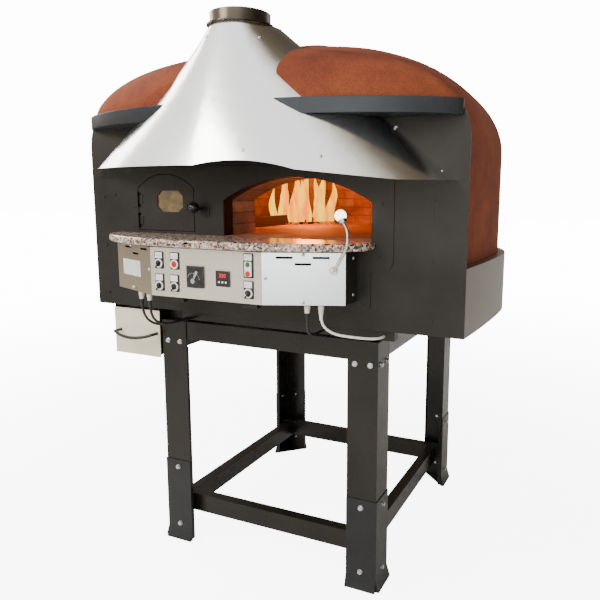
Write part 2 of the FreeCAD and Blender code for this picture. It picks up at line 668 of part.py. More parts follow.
def door_glass():
    pane = octagon(WINDOW_CENTRE, WINDOW_WIDTH + 2 * WINDOW_LAP, WINDOW_HEIGHT + 2 * WINDOW_LAP,
                   20, PANEL_Y + DOOR_SHEET, GLASS_SHEET)
    inside = PANEL_Y + DOOR_SHEET - 1
    limit = arch_opening(DOOR_CENTRE_X, DOOR_WIDTH, DOOR_BOTTOM_Z, DOOR_SPRING_Z, DOOR_APEX_Z,
                         -DOOR_REBATE - 3, inside, 10)
    return pane.common(limit)


def door_hinges():
    hinges = []
    for z in HINGE_HEIGHTS:
        total = HINGE_KNUCKLE + 2 * HINGE_END_KNUCKLE
        low = z - total / 2
        pin = rod((HINGE_X, HINGE_Y, low), (0, 0, 1), total, HINGE_PIN_RADIUS)
        pieces = [pin]
        for start in (low, z + HINGE_KNUCKLE / 2):
            pieces.append(rod((HINGE_X, HINGE_Y, start), (0, 0, 1), HINGE_END_KNUCKLE,
                              HINGE_KNUCKLE_RADIUS))
            pieces.append(block((HINGE_X - 26, HINGE_X - 0.5), (PANEL_Y - 2.5, PANEL_Y),
                                (start, start + HINGE_END_KNUCKLE)))
        pieces.append(block((HINGE_X - 26, HINGE_X - HINGE_KNUCKLE_RADIUS - 1),
                            (PANEL_Y - 2.5, PANEL_Y), (low, low + total)))
        hinges.append(joined(pieces))
    return group(hinges)


def latch_lever():
    x, z = LATCH_PIVOT
    face = PANEL_Y - CLEAR
    hub = tube((x, face, z), (0, -1, 0), 10, 9, 4.05)
    arm = block((x + 6, x + LATCH_ARM), (face - 8, face - 4), (z - 5, z + 5))
    lean = V(0.55, -0.84, 0).normalize()
    neck_start = V(x + LATCH_ARM - 5, face - 6, z)
    neck = Part.makeCylinder(4.5, 24, neck_start, lean)
    ball_centre = neck_start + lean * 34
    ball = Part.makeSphere(LATCH_BALL_RADIUS, ball_centre)
    lever = joined([hub, arm, neck])
    return group([lever.cut(ball), ball])


def latch_keeper():
    x, z = LATCH_PIVOT
    plate = block((x + 58, x + 92), (PANEL_Y - 2.5, PANEL_Y), (z - 32, z + 4))
    tongue = block((x + 30, x + 60), (PANEL_Y - 10, PANEL_Y), (z - 9, z - 5 - CLEAR))
    return joined([plate, tongue])


def counter_slab():
    points = []
    count = 24
    for index in range(count + 1):
        share = -math.cos(math.pi * index / count)
        depth = (COUNTER_REACH - COUNTER_TIP) * (1 - abs(share) ** 2.4) ** 0.625
        points.append(V(COUNTER_CENTRE_X + COUNTER_HALF_WIDTH * share,
                        FACADE_Y - COUNTER_TIP - depth, BOX_TOP_Z))
    left = V(points[0].x, PANEL_Y, BOX_TOP_Z)
    right = V(points[-1].x, PANEL_Y, BOX_TOP_Z)
    wire = Part.Wire([spline_edge(points), Part.makeLine(points[-1], right),
                      Part.makeLine(right, left), Part.makeLine(left, points[0])])
    return Part.Face(wire).extrude(V(0, 0, COUNTER_SLAB))


def box_points(inset):
    # Plan of the control box from its left back corner round the front
    slope = math.atan2(BOX_REACH - BOX_SIDE_REACH, BOX_HALF_WIDTH - BOX_FACET_HALF)
    side = BOX_HALF_WIDTH - inset
    facet = BOX_FACET_HALF - inset * math.tan(slope / 2)
    front = FACADE_Y - BOX_REACH + inset
    corner = FACADE_Y - BOX_SIDE_REACH + inset * math.tan((math.pi / 2 - slope) / 2)
    cx = COUNTER_CENTRE_X
    return [(cx - side, PANEL_Y), (cx - side, corner), (cx - facet, front),
            (cx + facet, front), (cx + side, corner), (cx + side, PANEL_Y)]


FACET_SPANS = {"panel_left": (1, 2), "panel_centre": (2, 3), "panel_right": (3, 4)}


def facet_frame(name):
    # Start, unit direction, outward normal and length of one front facet
    first, second = FACET_SPANS[name]
    outline = box_points(0)
    start = V(outline[first][0], outline[first][1], 0)
    end = V(outline[second][0], outline[second][1], 0)
    along = (end - start)
    length = along.Length
    along = along.normalize()
    return start, along, V(along.y, -along.x, 0), length


def facet_block(name, s_pair, z_pair, out_pair):
    # Cuboid lying on a facet: s along it, out measured outwards from its face
    start, along, normal, length = facet_frame(name)
    corners = [start + along * s_pair[0] + normal * out_pair[0],
               start + along * s_pair[1] + normal * out_pair[0],
               start + along * s_pair[1] + normal * out_pair[1],
               start + along * s_pair[0] + normal * out_pair[1]]
    return plate_xy([(c.x, c.y) for c in corners], z_pair[0], z_pair[1] - z_pair[0])


def control_box():
    height = BOX_TOP_Z - BOX_BOTTOM_Z
    outer = plate_xy(box_points(BOX_SHEET), BOX_BOTTOM_Z, height)
    inner = plate_xy(box_points(2 * BOX_SHEET), BOX_BOTTOM_Z + BOX_SHEET, height - 2 * BOX_SHEET)
    cuts = [inner]
    for name in FACET_SPANS:
        length = facet_frame(name)[3]
        cuts.append(facet_block(name, (BOX_RIM + 8, length - BOX_RIM - 8),
                                (BOX_BOTTOM_Z + BOX_RIM, BOX_TOP_Z - BOX_RIM), (-20, 5)))
    cuts += [rod((x, y, BOX_BOTTOM_Z - 2), (0, 0, 1), 8, 6.2) for x, y in GLAND_PLACES]
    brackets = [block((x - 26, x + 26), (BOX_FACET_Y + 18, BOX_FACET_Y + 40),
                      (BOX_BOTTOM_Z - 16, BOX_BOTTOM_Z)) for x in (-190, 80)]
    return joined([outer.cut(cuts)] + brackets)


GLAND_PLACES = [(-360.0, -568.0), (-314.0, -582.0), (248.0, -549.0), (286.0, -533.0)]

# On the angled facets: start along the facet, length, and height above the box's bottom
LEFT_SLOTS = [(62, 48, 145), (176, 46, 145), (116, 46, 126)]
RIGHT_SLOTS = [(43, 49, 141), (150, 49, 141), (98, 48, 122)]
FACET_SCREWS = {"panel_left": [(143, 151), (236, 83), (134, 11)],
                "panel_right": [(123, 150), (122, 9), (12, 80)],
                "panel_centre": []}


def on_centre(offset, height):
    # Place on the middle facet from its centre line and the box's bottom
    return (COUNTER_CENTRE_X + offset, BOX_BOTTOM_Z + height)


SELECTOR_PLACES = [on_centre(-168, 105.4), on_centre(-168, 35), on_centre(-110, 35), on_centre(160.6, 33.1)]
RED_PLACE = on_centre(-107, 105.4)
PAIR_PLACE = on_centre(161, 104.9)
PAIR_BUTTON_OFFSET = 13.5
PAIR_HALF_HEIGHT = 23.0
PAIR_BUTTON_RADIUS = 8.5
CONTROLLER = on_centre(71, 70.9) + (48.0, 48.0)
REGULATOR = on_centre(-29.5, 70.6) + (60.0, 68.0)
SWITCH_HOLE = 11.0
BEZEL_RADIUS = 14.5
BEZEL_BORE = 10.0


def facet_point(name, s, z, out=0.0):
    start, along, normal, length = facet_frame(name)
    p = start + along * s + normal * out
    return V(p.x, p.y, z)


def box_panel(name):
    length = facet_frame(name)[3]
    margin = 0.0 if name == "panel_centre" else 1.2
    height = (BOX_BOTTOM_Z + 1, BOX_TOP_Z - 5)
    sheet = facet_block(name, (margin, length - margin), height, (-BOX_SHEET, 0))
    cuts = []
    for s, rise in FACET_SCREWS[name]:
        hole = facet_point(name, s, BOX_BOTTOM_Z + rise, 3)
        normal = facet_frame(name)[2]
        cuts.append(rod(tuple(hole), tuple(normal * -1), 10, SCREW_HOLE))
    for s, span, rise in {"panel_left": LEFT_SLOTS, "panel_right": RIGHT_SLOTS}.get(name, []):
        z = BOX_BOTTOM_Z + rise
        cuts.append(facet_block(name, (s, s + span), (z - 3, z + 3), (-6, 3)))
    if name == "panel_centre":
        holes = SELECTOR_PLACES + [RED_PLACE]
        for x, z in holes:
            cuts.append(rod((x, BOX_FACET_Y + 5, z), (0, -1, 0), 12, SWITCH_HOLE))
        for x, z, width, high in (CONTROLLER, REGULATOR):
            cuts.append(block((x - width / 2 + 2, x + width / 2 - 2), (BOX_FACET_Y - 5, BOX_FACET_Y + 5),
                              (z - high / 2 + 2, z + high / 2 - 2)))
        x, z = PAIR_PLACE
        cuts.append(block((x - 11, x + 11), (BOX_FACET_Y - 5, BOX_FACET_Y + 5),
                          (z - PAIR_HALF_HEIGHT, z + PAIR_HALF_HEIGHT)))
    return sheet.cut(cuts)


def switch_bezels():
    # Round bezel with its barrel through the panel, and a legend plate above it
    pieces = []
    for x, z in SELECTOR_PLACES + [RED_PLACE]:
        ring = tube((x, BOX_FACET_Y, z), (0, -1, 0), 5, BEZEL_RADIUS, BEZEL_BORE)
        barrel = tube((x, BOX_FACET_Y, z), (0, 1, 0), 22, SWITCH_HOLE - 0.1, BEZEL_BORE)
        plug = rod((x, BOX_FACET_Y + 16, z), (0, 1, 0), 6, BEZEL_BORE)
        pieces.append(joined([ring, barrel, plug]))
        pieces.append(block((x - 13.5, x + 13.5), (BOX_FACET_Y - 1.5, BOX_FACET_Y),
                            (z + BEZEL_RADIUS + 1, z + BEZEL_RADIUS + 21)))
    x, z = PAIR_PLACE
    frame = block((x - 15, x + 15), (BOX_FACET_Y - 5, BOX_FACET_Y), (z - 24, z + 24))
    barrel = block((x - 10.8, x + 10.8), (BOX_FACET_Y, BOX_FACET_Y + 22),
                   (z - PAIR_HALF_HEIGHT + 0.2, z + PAIR_HALF_HEIGHT - 0.2))
    wells = [rod((x, BOX_FACET_Y + 16, z + side * PAIR_BUTTON_OFFSET), (0, -1, 0), 30, PAIR_BUTTON_RADIUS)
             for side in (-1, 1)]
    pieces.append(joined([frame, barrel]).cut(wells))
    pieces.append(block((x - 13.5, x + 13.5), (BOX_FACET_Y - 1.5, BOX_FACET_Y), (z + 25, z + 43)))
    return group(pieces)


def selector(x, z):
    drum = rod((x, BOX_FACET_Y + 12, z), (0, -1, 0), 18, BEZEL_BORE - CLEAR)
    grip = block((x - 3, x + 3), (BOX_FACET_Y - 15, BOX_FACET_Y - 6), (z - 9.2, z + 9.2))
    return joined([drum, grip])


def push_button(x, z, radius, proud):
    return rod((x, BOX_FACET_Y + 9, z), (0, -1, 0), 9 + proud, radius)


def panel_instrument(place, front, deep):
    x, z, width, height = place
    bezel = block((x - width / 2, x + width / 2), (BOX_FACET_Y - front, BOX_FACET_Y),
                  (z - height / 2, z + height / 2))
    body = block((x - width / 2 + 2.5, x + width / 2 - 2.5), (BOX_FACET_Y, BOX_FACET_Y + deep),
                 (z - height / 2 + 2.5, z + height / 2 - 2.5))
    return joined([bezel, body])


def cable_glands():
    glands = []
    for x, y in GLAND_PLACES:
        nut = rod((x, y, BOX_BOTTOM_Z), (0, 0, -1), 14, GLAND_RADIUS)
        cap = rod((x, y, BOX_BOTTOM_Z - 14), (0, 0, -1), GLAND_LENGTH - 14, GLAND_RADIUS - 1.5)
        stem = rod((x, y, BOX_BOTTOM_Z), (0, 0, 1), 8, 6.0)
        glands.append(joined([nut, cap, stem]))
    return group(glands)


CABLE_ROUTES = {
    "cable_left_outer": [(-360, -568, 61.4), (-360, -568, 23.4), (-352, -553, -14.6), (-336, -524, -33.6),
                         (-319, -482, -36.6), (-306, -441, -30.6), (-306, -400, -30.6)],
    "cable_left_inner": [(-314, -582, 61.4), (-314, -582, 23.4), (-309, -566, -12.6), (-296, -528, -26.6),
                         (-283, -482, -27.6), (-272, -440, -23.6), (-272, -400, -23.6)],
    "cable_right_short": [(248, -549, 61.4), (248, -549, 27.4), (243, -532, -2.6), (234, -494, -17.6),
                          (228, -446, -23.6), (228, -400, -23.6)],
    "cable_right_long": [(286, -533, 61.4), (286, -533, 35.4), (299, -529, 13.4), (325, -519, -2.6),
                         (360, -501, -9.6), (396, -480, -15.6), (423, -453, -20.6), (436, -424, -22.6),
                         (436, -400, -22.6)]}


def cable(name, route):
    # Straight runs joined by tangent arcs as large as the runs allow
    points = [V(x, y, BODY_BOTTOM_Z + height) for x, y, height in route]
    edges = []
    cursor = points[0]
    radii = []
    for before, corner, after in zip(points, points[1:], points[2:]):
        back = (before - corner)
        ahead = (after - corner)
        turn = math.pi - back.getAngle(ahead)
        reach = 0.45 * min(back.Length, ahead.Length)
        radii.append(round(reach / math.tan(turn / 2)))
        back = back.normalize()
        ahead = ahead.normalize()
        start = corner + back * reach
        end = corner + ahead * reach
        radius = reach / math.tan(turn / 2)
        inward = (back + ahead).normalize()
        centre = corner + inward * (radius / math.cos(turn / 2))
        middle = centre - inward * radius
        edges.append(Part.makeLine(cursor, start))
        edges.append(Part.Arc(start, middle, end).toShape())
        cursor = end
    edges.append(Part.makeLine(cursor, points[-1]))
    path = Part.Wire(edges)
    heading = (points[1] - points[0])
    ring = Part.Wire([Part.makeCircle(CABLE_RADIUS, points[0], heading)])
    solid = path.makePipeShell([ring], True, True)
    expected = path.Length * math.pi * CABLE_RADIUS ** 2
    print(name, "length", round(path.Length, 1), "radii", radii,
          "volume ratio", round(solid.Volume / expected, 4))
    return solid


def cable_duct():
    return block((-330, 470), (DUCT_FRONT_Y, DUCT_FRONT_Y + DUCT_DEPTH),
                 (BODY_BOTTOM_Z - DUCT_HEIGHT, BODY_BOTTOM_Z))


def flue_collar():
    y = FACADE_Y - FLUE_FORWARD
    flange = tube((0, y, HOOD_TOP_Z), (0, 0, 1), 3, FLUE_OUTER_RADIUS + FLUE_FLANGE,
                  FLUE_OUTER_RADIUS - FLUE_WALL)
    ring = tube((0, y, HOOD_TOP_Z), (0, 0, 1), FLUE_HEIGHT, FLUE_OUTER_RADIUS,
                FLUE_OUTER_RADIUS - FLUE_WALL)
    return joined([flange, ring])


GLOBE_RADIUS = 17.0
LAMP_BASE_S = 211.0
LAMP_BASE_Z = BOX_BOTTOM_Z + 104.4


def lamp_base():
    start = facet_point("panel_right", LAMP_BASE_S, LAMP_BASE_Z, 0)
    normal = facet_frame("panel_right")[2]
    disc = rod(tuple(start), tuple(normal), 5, 13)
    socket = rod(tuple(start), tuple(normal), 14, 8)
    return joined([disc, socket])


def lamp_route():
    start = facet_point("panel_right", LAMP_BASE_S, LAMP_BASE_Z, 14 + CLEAR)
    normal = facet_frame("panel_right")[2]
    first = start + normal * 12
    return [start, first, first + V(22, -4, 34), first + V(42, -6, 72), first + V(44, -4, 112),
            first + V(30, 0, 140)]


def lamp_neck():
    route = lamp_route()
    ring = Part.Wire([Part.makeCircle(4.5, route[0], route[1] - route[0])])
    curve = Part.BSplineCurve()
    curve.interpolate(route)
    neck = Part.Wire([curve.toShape()]).makePipeShell([ring], True, True)
    swivel = Part.makeCylinder(7.5, 8, route[0], route[1] - route[0])
    return joined([neck, swivel])


def lamp_head():
    route = lamp_route()
    tip = route[-1]
    heading = (route[-1] - route[-2]).normalize()
    cup = Part.makeCylinder(12, 12, tip, heading)
    globe = Part.makeSphere(GLOBE_RADIUS, tip + heading * 22)
    return group([cup.cut([globe, lamp_neck()]), globe])


def corner_angle(side_x_sign, side_y_sign, half_x, half_y, flange, sheet, z_pair):
    x = side_x_sign * half_x
    y = STAND_Y + side_y_sign * half_y
    along_x = block((x, x - side_x_sign * flange), (y, y - side_y_sign * sheet), z_pair)
    along_y = block((x, x - side_x_sign * sheet), (y, y - side_y_sign * flange), z_pair)
    return joined([along_x, along_y])


def stand_bolt_sites():
    # Head seat, outward direction and grip of each stand bolt
    sites = []
    x0 = STAND_WIDTH / 2
    y0 = STAND_DEPTH / 2
    for sx in (-1, 1):
        for sy in (-1, 1):
            for offset in (0.25 * LEG_FLANGE, 0.75 * LEG_FLANGE):
                z = STAND_TOP_Z - 75
                sites.append(((sx * (x0 - offset), STAND_Y + sy * y0, z), (0, sy, 0), 2 * LEG_SHEET))
                sites.append(((sx * x0, STAND_Y + sy * (y0 - offset), z), (sx, 0, 0), 2 * LEG_SHEET))
            for z in (60.0, SLEEVE_HEIGHT - 27):
                middle = LEG_FLANGE / 2
                grip = LEG_SHEET + SLEEVE_SHEET
                sites.append(((sx * (x0 - middle), STAND_Y + sy * (y0 + SLEEVE_SHEET), z),
                              (0, sy, 0), grip))
                sites.append(((sx * (x0 + SLEEVE_SHEET), STAND_Y + sy * (y0 - middle), z),
                              (sx, 0, 0), grip))
    return sites


def stand_holes():
    holes = []
    for (x, y, z), (dx, dy, dz), grip in stand_bolt_sites():
        holes.append(rod((x + dx * 5, y + dy * 5, z), (-dx, -dy, 0), grip + 12, BOLT_HOLE))
    return holes


def stand_bolts():
    bolts = []
    for (x, y, z), (dx, dy, dz), grip in stand_bolt_sites():
        washer = rod((x, y, z), (dx, dy, 0), 1.6, 9)
        head = rod((x + dx * 1.6, y + dy * 1.6, z), (dx, dy, 0), 5.5, 7)
        shank = rod((x, y, z), (-dx, -dy, 0), grip + 8, BOLT_RADIUS)
        nut = rod((x - dx * grip, y - dy * grip, z), (-dx, -dy, 0), 6.5, 7)
        bolts.append(joined([washer, head, shank, nut]))
    return group(bolts)


def leg(sx, sy):
    half_x = STAND_WIDTH / 2
    half_y = STAND_DEPTH / 2
    y = STAND_Y + sy * half_y
    x = sx * half_x
    plain = corner_angle(sx, sy, half_x, half_y, LEG_FLANGE, LEG_SHEET, (4, STAND_TOP_Z))
    lip_top = STAND_TOP_Z - GUSSET_HEIGHT
    inner_x = x - sx * LEG_FLANGE
    inner_y = y - sy * LEG_FLANGE
    lips = [block((inner_x, inner_x + sx * LEG_SHEET), (y, y - sy * LEG_LIP), (4, lip_top)),
            block((x, x - sx * LEG_LIP), (inner_y, inner_y + sy * LEG_SHEET), (4, lip_top))]
    return joined([plain] + lips).cut(stand_holes())


def foot_sleeve(sx, sy):
    half_x = STAND_WIDTH / 2 + SLEEVE_SHEET
    half_y = STAND_DEPTH / 2 + SLEEVE_SHEET
    flange = LEG_FLANGE + SLEEVE_SHEET
    shell = corner_angle(sx, sy, half_x, half_y, flange, SLEEVE_SHEET, (0, SLEEVE_HEIGHT))
    x = sx * half_x
    y = STAND_Y + sy * half_y
    flare_x = plate_xz([(x - sx * 1, 45), (x + sx * SLEEVE_FLARE, 0), (x - sx * 1, 0)],
                       min(y, y - sy * flange), flange)
    loop = [V(0, y - sy * 1, 45), V(0, y + sy * SLEEVE_FLARE, 0), V(0, y - sy * 1, 0)]
    face = Part.Face(Part.makePolygon(loop + [loop[0]]))
    flare_y = face.extrude(V(flange, 0, 0))
    flare_y.translate(V(min(x, x - sx * flange), 0, 0))
    plate = plate_xy([(x, y), (x - sx * flange, y), (x, y - sy * flange)], 0, 4)
    return joined([shell, flare_x, flare_y, plate]).cut(stand_holes())


def channel_x(y_face, inward, x_pair, z_bottom, height, sheet, depth):
    # Channel along X with its web at y_face and its flanges pointing inward
    web = block(x_pair, (y_face, y_face + inward * sheet), (z_bottom, z_bottom + height))
    low = block(x_pair, (y_face, y_face + inward * depth), (z_bottom, z_bottom + sheet))
    high = block(x_pair, (y_face, y_face + inward * depth), (z_bottom + height - sheet, z_bottom + height))
    return joined([web, low, high])


def channel_y(x_face, inward, y_pair, z_bottom, height, sheet, depth):
    web = block((x_face, x_face + inward * sheet), y_pair, (z_bottom, z_bottom + height))
    low = block((x_face, x_face + inward * depth), y_pair, (z_bottom, z_bottom + sheet))
    high = block((x_face, x_face + inward * depth), y_pair, (z_bottom + height - sheet, z_bottom + height))
    return joined([web, low, high])


def upper_rails():
    half_x = STAND_WIDTH / 2 - LEG_SHEET
    half_y = STAND_DEPTH / 2 - LEG_SHEET
    bottom = STAND_TOP_Z - RAIL_HEIGHT
    gusset = (STAND_TOP_Z - GUSSET_HEIGHT, STAND_TOP_Z)
    rails = []
    for side in (-1, 1):
        y = STAND_Y + side * half_y
        pieces = [channel_x(y, -side, (-half_x, half_x), bottom, RAIL_HEIGHT, RAIL_SHEET, RAIL_DEPTH)]
        pieces += [block((end * half_x, end * (half_x - LEG_FLANGE + LEG_SHEET)),
                         (y, y - side * LEG_SHEET), gusset) for end in (-1, 1)]
        rails.append(joined(pieces).cut(stand_holes()))
        x = side * half_x
        reach = half_y - RAIL_DEPTH
        pieces = [channel_y(x, -side, (STAND_Y - reach, STAND_Y + reach), bottom, RAIL_HEIGHT,
                            RAIL_SHEET, RAIL_DEPTH)]
        wing = half_y - LEG_SHEET
        for end in (-1, 1):
            inner = STAND_Y + end * (half_y - LEG_FLANGE + LEG_SHEET)
            pieces.append(block((x, x - side * LEG_SHEET), (STAND_Y + end * wing, inner),
                                (STAND_TOP_Z - GUSSET_HEIGHT, bottom)))
        rails.append(joined(pieces).cut(stand_holes()))
    return group(rails)


def lower_rails():
    inner_x = STAND_WIDTH / 2 - LEG_SHEET
    half_x = STAND_WIDTH / 2 - LOW_RAIL_INSET
    half_y = STAND_DEPTH / 2 - LOW_RAIL_INSET
    reach = half_y - RAIL_DEPTH
    inner_y = STAND_DEPTH / 2 - LEG_SHEET
    rails = []
    for side in (-1, 1):
        y = STAND_Y + side * half_y
        rails.append(block((-inner_x, inner_x), (y, y - side * RAIL_DEPTH),
                           (LOW_RAIL_Z, LOW_RAIL_Z + LOW_RAIL_HEIGHT)))
        x = side * half_x
        rails.append(block((x, x - side * RAIL_DEPTH), (STAND_Y - reach, STAND_Y + reach),
                           (LOW_RAIL_Z, LOW_RAIL_Z + LOW_RAIL_HEIGHT)))
    return group(rails)


def base_beams():
    half_x = STAND_WIDTH / 2 - LEG_SHEET
    y_pair = (DUCT_FRONT_Y + 37, STAND_Y + STAND_DEPTH / 2)
    z_pair = (STAND_TOP_Z, BODY_BOTTOM_Z)
    long_beams = [block((side * half_x, side * (half_x - RAIL_DEPTH)), y_pair, z_pair)
                  for side in (-1, 1)]
    reach = half_x - RAIL_DEPTH
    cross = [block((-reach, reach), (y, y + RAIL_DEPTH), z_pair)
             for y in (STAND_Y - CROSS_BEAM_FRONT, STAND_Y + CROSS_BEAM_REAR)]
    return group(long_beams + cross)


def gear_motor():
    x, y = MOUTH_CENTRE_X, TABLE_Y
    low = BODY_BOTTOM_Z - MOTOR_DROP
    case = block((x - MOTOR_CASE, x + MOTOR_CASE), (y - MOTOR_CASE, y + MOTOR_CASE), (low, BODY_BOTTOM_Z))
    motor = rod((x + MOTOR_CASE, y, low + MOTOR_DROP / 2), (1, 0, 0), MOTOR_LENGTH, MOTOR_RADIUS)
    bore = rod((x, y, low + 6), (0, 0, 1), MOTOR_DROP, SHAFT_RADIUS + SHAFT_FIT)
    return joined([case, motor]).cut(bore)


def floor_bearing():
    x, y = MOUTH_CENTRE_X, TABLE_Y
    sleeve = tube((x, y, BODY_BOTTOM_Z), (0, 0, 1), HEARTH_BOTTOM_Z - BODY_BOTTOM_Z,
                  BEARING_RADIUS - 0.1, SHAFT_RADIUS + SHAFT_FIT)
    ring = tube((x, y, HEARTH_BOTTOM_Z), (0, 0, 1), THRUST_RING, 70, SHAFT_RADIUS + SHAFT_FIT)
    return joined([sleeve, ring])


def turntable():
    x, y = MOUTH_CENTRE_X, TABLE_Y
    bottom = HEARTH_BOTTOM_Z + THRUST_RING + CLEAR
    top = SILL_Z - TABLE_SLAB
    disc = rod((x, y, bottom), (0, 0, 1), top - bottom, TABLE_RADIUS - 15)
    shaft_foot = BODY_BOTTOM_Z - MOTOR_DROP + 8
    shaft = rod((x, y, shaft_foot), (0, 0, 1), bottom - shaft_foot, SHAFT_RADIUS)
    return joined([disc, shaft])


def cooking_floor():
    return rod((MOUTH_CENTRE_X, TABLE_Y, SILL_Z - TABLE_SLAB), (0, 0, 1), TABLE_SLAB, TABLE_RADIUS)


def drawer_tray():
    t = DRAWER_SHEET
    front = block((DRAWER_LEFT_X, DRAWER_RIGHT_X), (DRAWER_Y - t, DRAWER_Y), (DRAWER_BOTTOM_Z, DRAWER_TOP_Z))
    x_pair = (DRAWER_LEFT_X + DRAWER_SIDE_GAP, DRAWER_RIGHT_X - DRAWER_SIDE_GAP)
    low = DRAWER_BOTTOM_Z + 12
    high = DRAWER_TOP_Z - 10
    outer = block(x_pair, (DRAWER_Y, DRAWER_Y + DRAWER_DEPTH), (low, high))
    inner = block((x_pair[0] + t, x_pair[1] - t), (DRAWER_Y, DRAWER_Y + DRAWER_DEPTH - t),
                  (low + t, high + 5))
    return joined([front, outer.cut(inner)])


def drawer_handle():
    z = (DRAWER_BOTTOM_Z + DRAWER_TOP_Z) / 2 + 2
    left = DRAWER_LEFT_X + 28
    right = DRAWER_RIGHT_X - 14
    y = DRAWER_Y - DRAWER_SHEET
    legs = [V(left, y, z), V(left, y - 32, z), V((left + right) / 2, y - 46, z - 14),
            V(right, y - 32, z), V(right, y, z)]
    path = Part.Wire([Part.makeLine(legs[0], legs[1]), Part.Arc(legs[1], legs[2], legs[3]).toShape(),
                      Part.makeLine(legs[3], legs[4])])
    pieces = [Part.makeSphere(DRAWER_HANDLE_RADIUS, legs[1]), Part.makeSphere(DRAWER_HANDLE_RADIUS, legs[3])]
    for edge in path.Edges:
        heading = edge.tangentAt(edge.FirstParameter)
        ring = Part.Wire([Part.makeCircle(DRAWER_HANDLE_RADIUS, edge.valueAt(edge.FirstParameter), heading)])
        pieces.append(Part.Wire([edge]).makePipeShell([ring], True, True))
    return joined(pieces)


def drawer_runners():
    # Hanging angles with a lip below the tray's floor
    runners = []
    low = DRAWER_BOTTOM_Z + 12
    for edge, inward in ((DRAWER_LEFT_X, 1), (DRAWER_RIGHT_X, -1)):
        face = edge + inward * (DRAWER_SIDE_GAP - CLEAR)
        wall = block((face, face - inward * 3), (DRAWER_Y + CLEAR, DRAWER_Y + DRAWER_DEPTH),
                     (low - CLEAR - 3, BODY_BOTTOM_Z))
        lip = block((face - inward * 3, face + inward * 16),
                    (DRAWER_Y + CLEAR, DRAWER_Y + DRAWER_DEPTH), (low - CLEAR - 3, low - CLEAR))
        runners.append(joined([wall, lip]))
    return group(runners)


def build():
    for sy, row in ((-1, "front"), (1, "rear")):
        for sx, side in ((-1, "left"), (1, "right")):
            save("leg_" + row + "_" + side, leg(sx, sy))
    save("foot_sleeves", group([foot_sleeve(sx, sy) for sx in (-1, 1) for sy in (-1, 1)]))
    save("upper_rails", upper_rails())
    save("lower_rails", lower_rails())
    save("stand_bolts", stand_bolts())
    save("base_beams", base_beams())
    save("base_tray", base_tray())
    save("gear_motor", gear_motor())
    save("floor_bearing", floor_bearing())
    save("turntable", turntable())
    save("cooking_floor", cooking_floor())
    save("facade", facade())
    save("centre_panel", centre_panel())
    save("cover_screws", cover_screws())
    save("skirt", skirt())
    save("dome_shell", dome_shell())
    save("dome_front", dome_front())
    save("visor", visor())
    save("hood_shell", hood_shell())
    save("flue_collar", flue_collar())
    save("refractory_vault", refractory_vault())
    save("hearth_base", hearth_base())
    save("hearth", hearth())
    save("mouth_frames", mouth_frames())
    save("door_leaf", door_leaf())
    save("door_glass", door_glass())
    save("door_hinges", door_hinges())
    save("latch_lever", latch_lever())
    save("latch_keeper", latch_keeper())
    save("counter_slab", counter_slab())
    save("control_box", control_box())
    for name in FACET_SPANS:
        save(name, box_panel(name))
    save("switch_bezels", switch_bezels())
    for index, place in enumerate(SELECTOR_PLACES, 1):
        save("selector_" + str(index), selector(*place))
    save("button_red", push_button(*RED_PLACE, BEZEL_BORE - CLEAR, 6))
    pair_x, pair_z = PAIR_PLACE
    pair_radius = PAIR_BUTTON_RADIUS - CLEAR
    save("button_start", push_button(pair_x, pair_z + PAIR_BUTTON_OFFSET, pair_radius, 6))
    save("button_stop", push_button(pair_x, pair_z - PAIR_BUTTON_OFFSET, pair_radius, 8))
    save("temperature_controller", panel_instrument(CONTROLLER, 5, 60))
    save("flame_regulator", panel_instrument(REGULATOR, 7, 50))
    save("cable_glands", cable_glands())
    save("cable_duct", cable_duct())
    for name, route in CABLE_ROUTES.items():
        save(name, cable(name, route))
    save("lamp_base", lamp_base())
    save("lamp_neck", lamp_neck())
    save("lamp_head", lamp_head())
    save("drawer_tray", drawer_tray())
    save("drawer_handle", drawer_handle())
    save("drawer_runners", drawer_runners())


build()
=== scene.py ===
import bpy
import bmesh
import json
import math
import random
from mathutils import Matrix, Vector
from mathutils.bvhtree import BVHTree


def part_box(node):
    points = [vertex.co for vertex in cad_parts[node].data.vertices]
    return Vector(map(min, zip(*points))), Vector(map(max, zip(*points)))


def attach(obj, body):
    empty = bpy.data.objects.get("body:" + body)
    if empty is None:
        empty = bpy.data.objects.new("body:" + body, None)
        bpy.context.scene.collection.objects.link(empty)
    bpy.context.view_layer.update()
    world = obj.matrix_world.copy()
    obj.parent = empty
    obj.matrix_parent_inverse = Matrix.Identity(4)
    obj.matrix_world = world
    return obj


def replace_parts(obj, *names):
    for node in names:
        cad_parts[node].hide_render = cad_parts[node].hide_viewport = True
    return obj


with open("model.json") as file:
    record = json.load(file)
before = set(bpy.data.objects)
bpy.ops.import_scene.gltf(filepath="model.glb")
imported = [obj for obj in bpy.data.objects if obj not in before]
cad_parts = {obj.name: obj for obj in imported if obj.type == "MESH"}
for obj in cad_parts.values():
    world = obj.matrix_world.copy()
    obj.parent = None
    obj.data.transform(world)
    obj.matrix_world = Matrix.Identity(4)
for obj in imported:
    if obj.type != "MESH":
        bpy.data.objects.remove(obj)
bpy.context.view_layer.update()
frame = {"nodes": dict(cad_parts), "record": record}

print("frame loaded")

# The camera stands to the right of the oven, at shoulder height
cameraSettings = {"place": (1.0735, -2.1410, 1.3051), "yaw": 23.84, "pitch": -8.92, "roll": 0.35,
                  "lens": 36.97, "shift": (-0.0751, -0.0203)}


